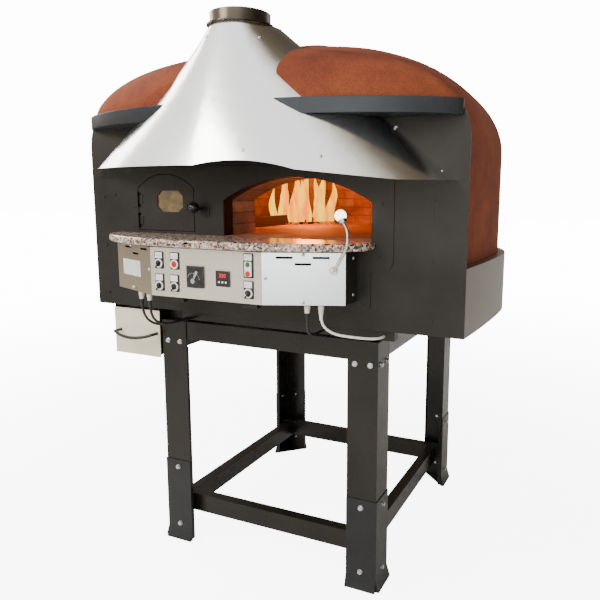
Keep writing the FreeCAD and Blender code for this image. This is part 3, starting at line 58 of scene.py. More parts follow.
def addCamera():
    s = cameraSettings
    bpy.ops.object.camera_add(location=s["place"])
    camera = bpy.context.object
    yaw, pitch, roll = (math.radians(s[key]) for key in ("yaw", "pitch", "roll"))
    forward = Vector((-math.sin(yaw) * math.cos(pitch), math.cos(yaw) * math.cos(pitch), math.sin(pitch)))
    right = Vector((math.cos(yaw), math.sin(yaw), 0))
    up = right.cross(forward)
    side = math.cos(roll) * right + math.sin(roll) * up
    top = math.cos(roll) * up - math.sin(roll) * right
    camera.matrix_world = Matrix.Translation(s["place"]) @ Matrix((side, top, -forward)).transposed().to_4x4()
    camera.data.lens = s["lens"]
    camera.data.shift_x, camera.data.shift_y = s["shift"]
    bpy.context.scene.camera = camera


addCamera()


# Small helpers for materials

def addNode(tree, kind, settings=None, **inputs):
    node = tree.nodes.new(kind)
    for key, value in (settings or {}).items():
        setattr(node, key, value)
    for key, value in inputs.items():
        socket = node.inputs[key.replace("_", " ")]
        if isinstance(value, bpy.types.NodeSocket):
            tree.links.new(value, socket)
        else:
            socket.default_value = value
    return node


def stretchedPlace(tree, stretch):
    place = addNode(tree, "ShaderNodeTexCoord").outputs["Object"]
    return addNode(tree, "ShaderNodeMapping", None, Vector=place, Scale=stretch).outputs["Vector"]


def noiseValue(tree, place, scale, detail=3.0, roughness=0.55):
    noise = addNode(tree, "ShaderNodeTexNoise", None, Vector=place, Scale=scale, Detail=detail,
                    Roughness=roughness)
    return noise.outputs["Fac"]


def colourRamp(tree, value, stops):
    ramp = tree.nodes.new("ShaderNodeValToRGB")
    elements = ramp.color_ramp.elements
    while len(elements) < len(stops):
        elements.new(0.5)
    for element, (position, colour) in zip(elements, stops):
        element.position = position
        element.color = (*colour, 1.0)
    tree.links.new(value, ramp.inputs["Fac"])
    return ramp.outputs["Color"]


def ranged(tree, value, low, high):
    return addNode(tree, "ShaderNodeMapRange", None, Value=value, **{"From_Min": 0.3, "From_Max": 0.7,
                   "To_Min": low, "To_Max": high}).outputs["Result"]


def multiplied(tree, first, second, share):
    blend = addNode(tree, "ShaderNodeMix", {"data_type": "RGBA", "blend_type": "MULTIPLY"})
    blend.inputs[0].default_value = share
    tree.links.new(first, blend.inputs[6])
    tree.links.new(second, blend.inputs[7])
    return blend.outputs[2]


def emboss(tree, shader, height, distance, strength, under=None):
    bump = addNode(tree, "ShaderNodeBump", None, Height=height, Distance=distance, Strength=strength)
    if under:
        tree.links.new(under.outputs["Normal"], bump.inputs["Normal"])
    tree.links.new(bump.outputs["Normal"], shader.inputs["Normal"])
    return bump


def startMaterial(name, metallic=0.0, **sockets):
    material = bpy.data.materials.new(name)
    material.use_nodes = True
    shader = material.node_tree.nodes["Principled BSDF"]
    shader.inputs["Metallic"].default_value = metallic
    for key, value in sockets.items():
        shader.inputs[key.replace("_", " ")].default_value = value
    return material, material.node_tree, shader


def mottled(name, dark, light, rough=(0.35, 0.5), metallic=0.0, blotch=5.0, grain=350.0, relief=0.00015,
            stretch=(1, 1, 1), **sockets):
    # A finish with cloudy colour, uneven gloss and a fine grain
    material, tree, shader = startMaterial(name, metallic, **sockets)
    place = stretchedPlace(tree, stretch)
    cloud = noiseValue(tree, place, blotch, 5.0)
    fine = noiseValue(tree, place, grain, 2.0)
    tree.links.new(colourRamp(tree, cloud, [(0.35, dark), (0.65, light)]), shader.inputs["Base Color"])
    tree.links.new(ranged(tree, cloud, *rough), shader.inputs["Roughness"])
    emboss(tree, shader, fine, relief, 0.6)
    return material


def brushed(name, dark, light, rough, grainAxis, **sockets):
    # Stainless steel with fine lines along one axis and a few faint smears
    scale = [420.0, 420.0, 420.0]
    scale[grainAxis] = 6.0
    material, tree, shader = startMaterial(name, 1.0, **sockets)
    lines = noiseValue(tree, stretchedPlace(tree, scale), 1.0, 3.0)
    smears = noiseValue(tree, stretchedPlace(tree, (1, 1, 1)), 3.2, 4.0)
    tree.links.new(colourRamp(tree, lines, [(0.3, dark), (0.7, light)]), shader.inputs["Base Color"])
    tree.links.new(ranged(tree, smears, *rough), shader.inputs["Roughness"])
    emboss(tree, shader, lines, 0.00004, 0.35)
    return material


def stuccoFinish():
    material, tree, shader = startMaterial("stucco", 0.0, Specular_IOR_Level=0.25)
    place = stretchedPlace(tree, (1, 1, 1))
    patches = noiseValue(tree, place, 4.5, 8.0, 0.62)
    grit = noiseValue(tree, place, 190.0, 6.0, 0.7)
    trowel = noiseValue(tree, stretchedPlace(tree, (1, 1, 0.45)), 26.0, 5.0)
    colours = [(0.25, (0.105, 0.020, 0.009)), (0.48, (0.205, 0.046, 0.018)), (0.72, (0.310, 0.088, 0.032))]
    base = colourRamp(tree, patches, colours)
    specks = colourRamp(tree, grit, [(0.3, (0.55, 0.48, 0.44)), (0.6, (1.0, 1.0, 1.0))])
    tree.links.new(multiplied(tree, base, specks, 0.7), shader.inputs["Base Color"])
    tree.links.new(ranged(tree, patches, 0.78, 0.95), shader.inputs["Roughness"])
    emboss(tree, shader, grit, 0.0016, 0.8, emboss(tree, shader, trowel, 0.0035, 0.55))
    return material


def graniteFinish():
    material, tree, shader = startMaterial("granite", 0.0, Coat_Weight=0.35, Coat_Roughness=0.08)
    place = stretchedPlace(tree, (1, 1, 1))
    cells = addNode(tree, "ShaderNodeTexVoronoi", None, Vector=place, Scale=190.0)
    chips = addNode(tree, "ShaderNodeSeparateColor", None, Color=cells.outputs["Color"]).outputs[0]
    colours = [(0.0, (0.012, 0.011, 0.010)), (0.24, (0.055, 0.045, 0.042)), (0.32, (0.260, 0.150, 0.105)),
               (0.55, (0.470, 0.300, 0.220)), (0.72, (0.620, 0.500, 0.410)), (0.92, (0.800, 0.740, 0.660))]
    base = colourRamp(tree, chips, colours)
    veil = colourRamp(tree, noiseValue(tree, place, 45.0, 4.0),
                      [(0.35, (0.62, 0.55, 0.52)), (0.65, (1.0, 0.97, 0.95))])
    tree.links.new(multiplied(tree, base, veil, 0.8), shader.inputs["Base Color"])
    tree.links.new(ranged(tree, noiseValue(tree, place, 60.0), 0.14, 0.30), shader.inputs["Roughness"])
    emboss(tree, shader, chips, 0.0001, 0.2)
    return material


def brickFinish(name, warm, pale, joint, scale):
    # Fired bricks with sunk mortar joints
    material, tree, shader = startMaterial(name, 0.0)
    place = addNode(tree, "ShaderNodeTexCoord").outputs["Object"]
    turned = addNode(tree, "ShaderNodeMapping", None, Vector=place,
                     Rotation=(math.radians(90), 0, 0)).outputs["Vector"]
    bricks = addNode(tree, "ShaderNodeTexBrick", None, Vector=turned, Scale=scale, Color1=(*warm, 1),
                     Color2=(*pale, 1), Mortar=(*joint, 1), Mortar_Size=0.012, Mortar_Smooth=0.4)
    soot = colourRamp(tree, noiseValue(tree, stretchedPlace(tree, (1, 1, 1)), 9.0, 6.0, 0.65),
                      [(0.3, (0.35, 0.30, 0.28)), (0.62, (1.0, 1.0, 1.0))])
    tree.links.new(multiplied(tree, bricks.outputs["Color"], soot, 0.85), shader.inputs["Base Color"])
    pits = noiseValue(tree, stretchedPlace(tree, (1, 1, 1)), 160.0, 4.0, 0.7)
    tree.links.new(ranged(tree, pits, 0.75, 0.95), shader.inputs["Roughness"])
    joints = emboss(tree, shader, bricks.outputs["Fac"], 0.003, 0.8)
    joints.invert = True
    emboss(tree, shader, pits, 0.0012, 0.7, joints)
    return material


def glowing(name, low, high, strength, scale, stretch=(1, 1, 1), body=(0.02, 0.008, 0.003, 1)):
    # A surface that gives off its own light, in cloudy colour
    material, tree, shader = startMaterial(name, 0.0, Emission_Strength=strength, Base_Color=body)
    cloud = noiseValue(tree, stretchedPlace(tree, stretch), scale, 4.0)
    colour = colourRamp(tree, cloud, [(0.36, low), (0.62, high)])
    tree.links.new(colour, shader.inputs["Emission Color"])
    tree.links.new(ranged(tree, cloud, 0.5, 0.8), shader.inputs["Roughness"])
    return material


finish = {
    "stand_black": mottled("stand_black", (0.005, 0.004, 0.003), (0.013, 0.010, 0.007), (0.22, 0.38), 0.45,
                           4.0, 300.0, 0.0002, Coat_Weight=0.15, Coat_Roughness=0.3),
    "sleeve_black": mottled("sleeve_black", (0.004, 0.004, 0.004), (0.011, 0.011, 0.012), (0.28, 0.45), 0.3,
                            6.0, 260.0, 0.0002, Coat_Weight=0.15, Coat_Roughness=0.3),
    "zinc_bolts": mottled("zinc_bolts", (0.46, 0.47, 0.49), (0.74, 0.75, 0.76), (0.18, 0.34), 1.0, 90.0),
    "dark_steel": mottled("dark_steel", (0.022, 0.020, 0.018), (0.042, 0.038, 0.033), (0.34, 0.46), 0.75,
                          1.8, 420.0, 0.00012, Coat_Weight=0.05, Coat_Roughness=0.35),
    "visor_steel": mottled("visor_steel", (0.030, 0.034, 0.038), (0.046, 0.051, 0.057), (0.30, 0.42), 0.6,
                           3.0, 420.0, 0.00012),
    "hood_stainless": brushed("hood_stainless", (0.80, 0.80, 0.80), (0.92, 0.92, 0.91), (0.16, 0.25), 2),
    "box_steel": brushed("box_steel", (0.78, 0.76, 0.71), (0.90, 0.88, 0.83), (0.24, 0.34), 0),
    "flue_steel": mottled("flue_steel", (0.055, 0.045, 0.036), (0.130, 0.105, 0.080), (0.20, 0.36), 0.9,
                          8.0, 300.0),
    "dome_stucco": stuccoFinish(),
    "granite": graniteFinish(),
    "refractory": brickFinish("refractory", (0.42, 0.21, 0.10), (0.56, 0.33, 0.18), (0.24, 0.17, 0.12), 6.5),
    "cooking_stone": mottled("cooking_stone", (0.20, 0.130, 0.085), (0.36, 0.255, 0.175), (0.65, 0.85), 0.0,
                             9.0, 130.0, 0.0008),
    "insulating_brick": mottled("insulating_brick", (0.42, 0.37, 0.30), (0.58, 0.52, 0.44), (0.8, 0.95), 0.0,
                                14.0, 120.0, 0.001),
    "carrier_steel": mottled("carrier_steel", (0.16, 0.15, 0.145), (0.26, 0.25, 0.24), (0.4, 0.55), 0.9, 9.0),
    "motor_paint": mottled("motor_paint", (0.020, 0.035, 0.055), (0.032, 0.052, 0.078), (0.35, 0.5), 0.1,
                           9.0),
    "bearing_bronze": mottled("bearing_bronze", (0.36, 0.22, 0.09), (0.50, 0.33, 0.14), (0.25, 0.4), 1.0,
                              30.0),
    "sight_glass": mottled("sight_glass", (0.16, 0.105, 0.035), (0.36, 0.25, 0.095), (0.08, 0.22), 0.0, 24.0,
                           200.0, 0.0001, Coat_Weight=0.6, Coat_Roughness=0.05, Transmission_Weight=0.35),
    "latch_black": mottled("latch_black", (0.006, 0.006, 0.006), (0.014, 0.013, 0.012), (0.16, 0.30), 0.1,
                           30.0, 300.0, 0.0001, Coat_Weight=0.3, Coat_Roughness=0.12),
    "switch_grey": mottled("switch_grey", (0.60, 0.60, 0.58), (0.78, 0.78, 0.76), (0.28, 0.42), 0.1, 60.0,
                           400.0, 0.00005),
    "selector_black": mottled("selector_black", (0.008, 0.008, 0.008), (0.018, 0.018, 0.019), (0.22, 0.36),
                              0.0, 60.0, 380.0, 0.00006),
    "button_red_plastic": mottled("button_red_plastic", (0.46, 0.006, 0.003), (0.58, 0.014, 0.006),
                                  (0.24, 0.36), 0.0, 70.0, 380.0, 0.00005),
    "button_green_plastic": mottled("button_green_plastic", (0.003, 0.110, 0.030), (0.008, 0.170, 0.050),
                                    (0.24, 0.36), 0.0, 70.0, 380.0, 0.00005),
    "instrument_black": mottled("instrument_black", (0.009, 0.008, 0.008), (0.020, 0.018, 0.018),
                                (0.26, 0.40), 0.0, 50.0, 380.0, 0.00006),
    "gland_cream": mottled("gland_cream", (0.60, 0.56, 0.44), (0.76, 0.72, 0.60), (0.34, 0.48), 0.0, 60.0),
    "cable_black": mottled("cable_black", (0.006, 0.006, 0.006), (0.014, 0.013, 0.013), (0.34, 0.50), 0.0,
                           40.0, 500.0),
    "cable_white": mottled("cable_white", (0.70, 0.68, 0.64), (0.86, 0.84, 0.80), (0.30, 0.44), 0.0, 40.0,
                           500.0),
    "lamp_chrome": mottled("lamp_chrome", (0.62, 0.60, 0.58), (0.86, 0.85, 0.84), (0.10, 0.22), 1.0, 60.0),
    "lamp_globe": glowing("lamp_globe", (1.0, 0.72, 0.62), (1.0, 0.92, 0.87), 5.0, 40.0,
                          body=(0.8, 0.74, 0.7, 1)),
    "drawer_cream": mottled("drawer_cream", (0.62, 0.57, 0.40), (0.76, 0.71, 0.54), (0.34, 0.48), 0.15, 3.0,
                            340.0, 0.0001),
    "handle_black": mottled("handle_black", (0.006, 0.006, 0.006), (0.013, 0.012, 0.012), (0.24, 0.40), 0.1,
                            30.0),
}
flameGlow = glowing("flame_glow", (1.0, 0.17, 0.0), (1.0, 0.60, 0.02), 2.4, 42.0, (1, 1, 0.18))
emberGlow = glowing("ember_glow", (0.10, 0.008, 0.002), (1.0, 0.16, 0.01), 1.6, 70.0)
charredWood = mottled("charred_wood", (0.010, 0.007, 0.005), (0.070, 0.038, 0.020), (0.75, 0.95), 0.0, 30.0,
                      160.0, 0.0015)
# A near-black sheet: the cover screws' own dark tone, and on the control box painted shade for the gap under
# the counter slab
darkSheetAndGapShade = mottled("dark_sheet_and_painted_gap_shade", (0.014, 0.013, 0.012), (0.026, 0.024, 0.022), (0.30, 0.44), 0.4, 5.0, 400.0)
sootySteel = mottled("sooty_steel", (0.008, 0.006, 0.005), (0.030, 0.020, 0.014), (0.45, 0.7), 0.5, 12.0,
                     200.0)
skirtSheet = mottled("skirt_sheet", (0.125, 0.105, 0.085), (0.20, 0.17, 0.14), (0.28, 0.40), 0.7, 1.6, 420.0)
# Copies of the brushed box steel with painted reflections: brown on the left panel, bluish white on the
# right, cream in the middle
boxLeftPaintedReflection = brushed("box_steel_left_painted_reflection", (0.36, 0.29, 0.20), (0.48, 0.39, 0.27), (0.26, 0.36), 0)
boxRightPaintedReflection = brushed("box_steel_right_painted_reflection", (0.80, 0.84, 0.87), (0.92, 0.96, 0.99), (0.22, 0.32), 0)
boxCentrePaintedReflection = brushed("box_steel_centre_painted_reflection", (0.86, 0.81, 0.68), (0.97, 0.92, 0.79), (0.26, 0.36), 0)
brassy = mottled("lamp_socket", (0.42, 0.36, 0.24), (0.62, 0.55, 0.38), (0.14, 0.28), 1.0, 90.0)
legendWhite = mottled("legend_white", (0.78, 0.77, 0.74), (0.90, 0.89, 0.87), (0.35, 0.5), 0.0, 80.0)
markGrey = mottled("mark_grey", (0.24, 0.24, 0.24), (0.40, 0.40, 0.39), (0.35, 0.5), 0.0, 80.0)
digitRed = glowing("digit_red", (0.80, 0.010, 0.006), (1.0, 0.030, 0.015), 2.2, 60.0)
print("materials ready")


# Small helpers for shaping
mergeDistance = 0.00002


def deselectAll():
    bpy.ops.object.select_all(action="DESELECT")


def activate(piece):
    deselectAll()
    piece.select_set(True)
    bpy.context.view_layer.objects.active = piece


def settle(piece):
    # Moves the piece's own transform into its mesh
    activate(piece)
    bpy.ops.object.transform_apply(location=True, rotation=True, scale=True)


def openMesh(piece, mode="FACE"):
    activate(piece)
    bpy.ops.object.mode_set(mode="EDIT")
    bpy.ops.mesh.select_mode(type=mode)
    bpy.ops.mesh.select_all(action="DESELECT")


def closeMesh():
    bpy.ops.object.mode_set(mode="OBJECT")


def selectFaces(piece, wanted):
    # Selects the faces for which wanted(middle, normal) holds
    mesh = bmesh.from_edit_mesh(piece.data)
    for face in mesh.faces:
        face.select = wanted(face.calc_center_median(), face.normal)
    mesh.select_flush_mode()
    bmesh.update_edit_mesh(piece.data)


def applyModifiers(piece):
    activate(piece)
    for modifier in list(piece.modifiers):
        bpy.ops.object.modifier_apply(modifier=modifier.name)


def roundEdges(piece, width, segments=2, angle=30):
    bevel = piece.modifiers.new("edges", "BEVEL")
    bevel.width = width
    bevel.segments = segments
    bevel.limit_method = "ANGLE"
    bevel.angle_limit = math.radians(angle)
    bevel.use_clamp_overlap = False
    applyModifiers(piece)


def smoothByAngle(piece, angle=35):
    activate(piece)
    bpy.ops.object.shade_smooth_by_angle(angle=math.radians(angle))
    weigh = piece.modifiers.new("flat", "WEIGHTED_NORMAL")
    weigh.weight = 100
    weigh.keep_sharp = True
    applyModifiers(piece)


def finishPiece(piece, name, material, body, angle=35):
    piece.name = name
    piece.data.name = name
    piece.data.materials.clear()
    piece.data.materials.append(material)
    settle(piece)
    smoothByAngle(piece, angle)
    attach(piece, body)
    return piece


def paintFaces(piece, material, wanted):
    # Gives a second material to the faces for which wanted(middle, normal) holds
    piece.data.materials.append(material)
    for face in piece.data.polygons:
        if wanted(face.center, face.normal):
            face.material_index = len(piece.data.materials) - 1


def splitAt(piece, place, direction):
    openMesh(piece, "VERT")
    bpy.ops.mesh.select_all(action="SELECT")
    bpy.ops.mesh.bisect(plane_co=place, plane_no=direction)
    closeMesh()


def joinPieces(pieces):
    deselectAll()
    for piece in pieces:
        piece.select_set(True)
    bpy.context.view_layer.objects.active = pieces[0]
    if len(pieces) > 1:
        bpy.ops.object.join()
    return bpy.context.view_layer.objects.active


def copyTo(piece, matrix):
    other = piece.copy()
    other.data = piece.data.copy()
    other.matrix_world = matrix
    bpy.context.scene.collection.objects.link(other)
    return other


def facing(place, outward, up=Vector((0, 0, 1))):
    # A frame whose Z looks outward, with X along the horizontal where it can be
    z = Vector(outward).normalized()
    x = up.cross(z)
    x = x.normalized() if x.length > 1e-6 else Vector((1, 0, 0))
    y = z.cross(x)
    return Matrix.Translation(place) @ Matrix((x, y, z)).transposed().to_4x4()


def addBox(low, high):
    low, high = Vector(low), Vector(high)
    bpy.ops.mesh.primitive_cube_add(size=1, location=(low + high) / 2)
    piece = bpy.context.object
    piece.scale = high - low
    settle(piece)
    return piece


def addRod(radius, depth, vertices=32, middle=(0, 0, 0)):
    bpy.ops.mesh.primitive_cylinder_add(vertices=vertices, radius=radius, depth=depth, location=middle)
    piece = bpy.context.object
    settle(piece)
    return piece


def bodyOf(node):
    for body, members in frame["record"]["behaviour"]["bodies"].items():
        if node in members:
            return body


def slotOf(node):
    for row in frame["record"]["subparts"]:
        if row["node"] == node:
            return row["material_slot"]


def refineNode(node, width=0.0008, segments=2, dissolve=0.4, material=None, angle=35):
    # A copy of the node with joined faces and rounded edges
    piece = bpy.data.objects.new(node + "_finished", frame["nodes"][node].data.copy())
    bpy.context.scene.collection.objects.link(piece)
    piece.data.materials.clear()
    openMesh(piece, "VERT")
    bpy.ops.mesh.select_all(action="SELECT")
    bpy.ops.mesh.remove_doubles(threshold=mergeDistance)
    if dissolve:
        bpy.ops.mesh.dissolve_limited(angle_limit=math.radians(dissolve))
    closeMesh()
    bpy.ops.mesh.customdata_custom_splitnormals_clear()
    if width:
        roundEdges(piece, width, segments)
    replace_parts(piece, node)
    slotName = slotOf(node)
    return finishPiece(piece, node + "_finished", material or finish[slotName], bodyOf(node), angle)


def islandBoxes(node):
    # Lowest and highest corner of each loose piece of a node
    mesh = bmesh.new()
    mesh.from_mesh(frame["nodes"][node].data)
    bmesh.ops.remove_doubles(mesh, verts=mesh.verts, dist=mergeDistance)
    seen = set()
    boxes = []
    for start in mesh.verts:
        if start in seen:
            continue
        stack, island = [start], []
        seen.add(start)
        while stack:
            vertex = stack.pop()
            island.append(vertex.co.copy())
            for edge in vertex.link_edges:
                other = edge.other_vert(vertex)
                if other not in seen:
                    seen.add(other)
                    stack.append(other)
        low = Vector([min(point[axis] for point in island) for axis in range(3)])
        high = Vector([max(point[axis] for point in island) for axis in range(3)])
        boxes.append((low, high))
    mesh.free()
    return boxes


# Cables: four short leads from the glands under the control box into the duct below the body
cableSettings = {
    "radius": 0.004, "steps": 16,
    "reliefLength": 0.022, "reliefTop": 0.0066, "nutLength": 0.004,
    "routes": {
        "cable_left_outer": [(-0.360, -0.568, 0.948), (-0.360, -0.568, 0.910), (-0.352, -0.553, 0.872),
                             (-0.336, -0.524, 0.853), (-0.319, -0.482, 0.850), (-0.306, -0.441, 0.856),
                             (-0.306, -0.400, 0.856)],
        "cable_left_inner": [(-0.314, -0.582, 0.948), (-0.314, -0.582, 0.910), (-0.309, -0.566, 0.874),
                             (-0.296, -0.528, 0.860), (-0.283, -0.482, 0.859), (-0.272, -0.440, 0.863),
                             (-0.272, -0.400, 0.863)],
        "cable_right_short": [(0.248, -0.549, 0.948), (0.248, -0.549, 0.914), (0.243, -0.532, 0.884),
                              (0.234, -0.494, 0.869), (0.228, -0.446, 0.863), (0.228, -0.400, 0.863)],
        "cable_right_long": [(0.286, -0.533, 0.948), (0.286, -0.533, 0.922), (0.299, -0.529, 0.900),
                             (0.325, -0.519, 0.884), (0.360, -0.501, 0.877), (0.396, -0.480, 0.871),
                             (0.423, -0.453, 0.866), (0.436, -0.424, 0.864), (0.436, -0.400, 0.864)]},
    "lengths": {"cable_left_outer": 0.245, "cable_left_inner": 0.249, "cable_right_short": 0.203,
                "cable_right_long": 0.258},
}


def addRelief(name, exitPoint, material):
    # Tapered sleeve round the cable where it leaves the gland
    s = cableSettings
    nut = s["nutLength"]
    piece = addRod(s["reliefTop"], nut, 28, (0, 0, -nut / 2))
    openMesh(piece)
    selectFaces(piece, lambda middle, normal: normal.z < -0.9)
    bpy.ops.mesh.inset(thickness=0.0006)
    for share in (0.3, 0.35, 0.35):
        drop = (0, 0, -(s["reliefLength"] - nut) * share)
        bpy.ops.mesh.extrude_region_move(TRANSFORM_OT_translate={"value": drop})
        bpy.ops.transform.resize(value=(0.91, 0.91, 1), center_override=(0, 0, 0))
    closeMesh()
    roundEdges(piece, 0.0006, 2)
    piece.matrix_world = Matrix.Translation(exitPoint)
    return finishPiece(piece, name, material, "oven_body")


def addCables():
    s = cableSettings
    for node, route in s["routes"].items():
        curve = bpy.data.curves.new(node + "_lead", "CURVE")
        curve.dimensions = "3D"
        spline = curve.splines.new("NURBS")
        spline.points.add(len(route) - 1)
        for point, place in zip(spline.points, route):
            point.co = (*place, 1)
        spline.order_u = 3
        spline.use_endpoint_u = True
        curve.resolution_u = s["steps"]
        curve.bevel_depth = s["radius"]
        curve.bevel_resolution = 6
        curve.use_fill_caps = True
        piece = bpy.data.objects.new(node + "_lead", curve)
        bpy.context.scene.collection.objects.link(piece)
        piece.data.materials.append(finish[slotOf(node)])
        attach(piece, "oven_body")
        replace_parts(piece, node)
        relief = addRelief(node + "_relief", route[0], finish[slotOf(node)])


addCables()
print("cables done")

# Sheet metal, stand and stone keep their shape from the frame and get rounded edges
edgeWidths = {
    "leg_front_left": 0.0012, "leg_front_right": 0.0012, "leg_rear_left": 0.0012, "leg_rear_right": 0.0012,
    "foot_sleeves": 0.0009, "upper_rails": 0.0009, "lower_rails": 0.0022, "base_beams": 0.002,
    "facade": 0.0008, "centre_panel": 0.0009, "skirt": 0.0008, "visor": 0.0018,
    "door_leaf": 0.0010, "door_hinges": 0.0006, "latch_keeper": 0.0006, "latch_lever": 0.0,
    "control_box": 0.0006, "panel_left": 0.0006, "panel_centre": 0.0006, "panel_right": 0.0006,
    "cable_duct": 0.0015, "drawer_tray": 0.0006, "drawer_handle": 0.0, "drawer_runners": 0.0006,
    "flue_collar": 0.0008, "cover_screws": 0.0004, "mouth_frames": 0.0025, "gear_motor": 0.003,
    "lamp_base": 0.0006, "button_red": 0.0012, "button_start": 0.0012, "button_stop": 0.0012,
    "cable_glands": 0.0008,
}
for node, width in edgeWidths.items():
    refineNode(node, width)
refineNode("counter_slab", 0.007, 4)
refineNode("cooking_floor", 0.003, 2, material=finish["cooking_stone"])
for node, part in frame["nodes"].items():
    if not part.hide_render:
        part.data.materials.clear()
        part.data.materials.append(finish[slotOf(node)])
print("frame parts finished")

# Tones apart from the slots: the control box painted dark as painted shade for the gap under the slab, a dark
# skirt, the hood flange painted dark as painted shade, box panels tinted with painted reflections, soot where
# flames reach
toneSettings = {"liner": -0.379, "guardTop": 1.160, "hoodFlange": -0.4338}
# The control box is painted near black as painted shade, so its front flange reads as the shaded gap under
# the slab
# The three box panels get the copies of the box steel with painted reflections
wholeTones = {"control_box": darkSheetAndGapShade, "cover_screws": darkSheetAndGapShade, "skirt": skirtSheet, "panel_left": boxLeftPaintedReflection,
              "panel_centre": boxCentrePaintedReflection, "panel_right": boxRightPaintedReflection, "lamp_base": brassy}
for node, material in wholeTones.items():
    bpy.data.objects[node + "_finished"].data.materials[0] = material
lining = bpy.data.objects["mouth_frames_finished"]
splitAt(lining, (0, toneSettings["liner"], 0), (0, 1, 0))
paintFaces(lining, sootySteel, lambda middle, normal: middle.y < toneSettings["liner"])
smoothByAngle(lining)
hearthPiece = refineNode("hearth", 0.002)
paintFaces(hearthPiece, sootySteel, lambda middle, normal: middle.z > toneSettings["guardTop"])
hoodPiece = refineNode("hood_shell", 0.0, dissolve=0)
# The flat flange of the stainless hood is painted in the dark facade steel as painted shade
paintFaces(hoodPiece, finish["dark_steel"],
           lambda middle, normal: middle.y > toneSettings["hoodFlange"] and abs(normal.y) > 0.9)

# Bolts of the stand: hexagonal head, washer, shank and nut
boltSettings = {"headRadius": 0.0079, "headDepth": 0.0055, "washerRadius": 0.009, "washerDepth": 0.0016,
                "shankRadius": 0.0039, "standMiddle": 0.0542}


def boltTemplate(length):
    s = boltSettings
    seat = length / 2 - s["headDepth"] - s["washerDepth"]
    head = addRod(s["headRadius"], s["headDepth"], 6, (0, 0, length / 2 - s["headDepth"] / 2))
    openMesh(head)
    selectFaces(head, lambda middle, normal: normal.z > 0.9)
    bpy.ops.mesh.inset(thickness=0.0012)
    bpy.ops.transform.translate(value=(0, 0, 0.0004))
    closeMesh()
    roundEdges(head, 0.0005, 2)
    washer = addRod(s["washerRadius"], s["washerDepth"], 28, (0, 0, seat + s["washerDepth"] / 2))
    roundEdges(washer, 0.0004, 2)
    shank = addRod(s["shankRadius"], length - 0.008, 16, (0, 0, -0.003))
    roundEdges(shank, 0.0008, 1)
    nut = addRod(s["headRadius"] - 0.0009, 0.0062, 6, (0, 0, -length / 2 + 0.0095))
    roundEdges(nut, 0.0005, 1)
    return joinPieces([head, washer, shank, nut])


def addBolts():
    s = boltSettings
    copies = []
    templates = {}
    middle = Vector((0, s["standMiddle"], 0))
    for low, high in islandBoxes("stand_bolts"):
        size = high - low
        axis = max(range(3), key=lambda index: size[index])
        outward = Vector((0, 0, 0))
        centre = (low + high) / 2
        outward[axis] = math.copysign(1.0, (centre - middle)[axis])
        key = round(size[axis], 4)
        if key not in templates:
            templates[key] = boltTemplate(size[axis])
        copies.append(copyTo(templates[key], facing(centre, outward)))
    for template in templates.values():
        bpy.data.objects.remove(template)
    for copy in copies:
        settle(copy)
    piece = finishPiece(joinPieces(copies), "stand_bolts_finished", finish["zinc_bolts"], "oven_body",
                        30)
    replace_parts(piece, "stand_bolts")


addBolts()
print("bolts done")

# Pan head screws on the hood (x, z) and on the control box (along the facet, height), (height, y)
screwSettings = {
    "radius": 0.0052, "depth": 0.0026,
    "hood": [(-0.555, 1.392), (0.140, 1.412), (0.345, 1.395), (-0.055, 1.745), (0.105, 1.735)],
    "hoodFlange": [(0.618, 1.362), (0.474, 1.487)],
    "boxMiddle": -0.071, "facetFront": 0.2035, "facetSide": 0.431, "facetY": -0.616, "sideY": -0.519,
    "facetScrews": {-1: [(0.104, 1.1236), (0.236, 1.0556), (0.113, 0.9836)],
                    1: [(0.123, 1.1226), (0.122, 0.9816), (0.012, 1.0526)]},
    "sideScrews": [(1.108, -0.462), (0.998, -0.462)],
}


def screwTemplate():
    s = screwSettings
    bpy.ops.mesh.primitive_uv_sphere_add(segments=24, ring_count=12, radius=s["radius"])
    head = bpy.context.object
    openMesh(head, "VERT")
    bpy.ops.mesh.select_all(action="SELECT")
    bpy.ops.mesh.bisect(plane_co=(0, 0, 0), plane_no=(0, 0, 1), clear_inner=True, use_fill=True)
    bpy.ops.mesh.select_all(action="SELECT")
    bpy.ops.transform.resize(value=(1, 1, s["depth"] / s["radius"]), center_override=(0, 0, 0))
    closeMesh()
    openMesh(head)
    selectFaces(head, lambda middle, normal: middle.z > s["depth"] * 0.86)
    bpy.ops.mesh.extrude_region_move(TRANSFORM_OT_translate={"value": (0, 0, 0)})
    bpy.ops.transform.resize(value=(0.7, 0.7, 1), center_override=(0, 0, 0))
    bpy.ops.transform.translate(value=(0, 0, -0.0011))
    closeMesh()
    return head


def surfaceHit(node, start, direction):
    mesh = bmesh.new()
    mesh.from_mesh(frame["nodes"][node].data)
    place, normal = BVHTree.FromBMesh(mesh).ray_cast(Vector(start), Vector(direction))[:2]
    mesh.free()
    return place, normal


def facetFrame(side, along, height):
    # Place and outward direction on an angled side of the control box, from its outer edge on the left
    s = screwSettings
    front = Vector((s["boxMiddle"] + side * s["facetFront"], s["facetY"], 0))
    back = Vector((s["boxMiddle"] + side * s["facetSide"], s["sideY"], 0))
    start, end = (front, back) if side > 0 else (back, front)
    run = (end - start).normalized()
    outward = Vector((run.y, -run.x, 0))
    place = start + run * along
    place.z = height
    return place, outward


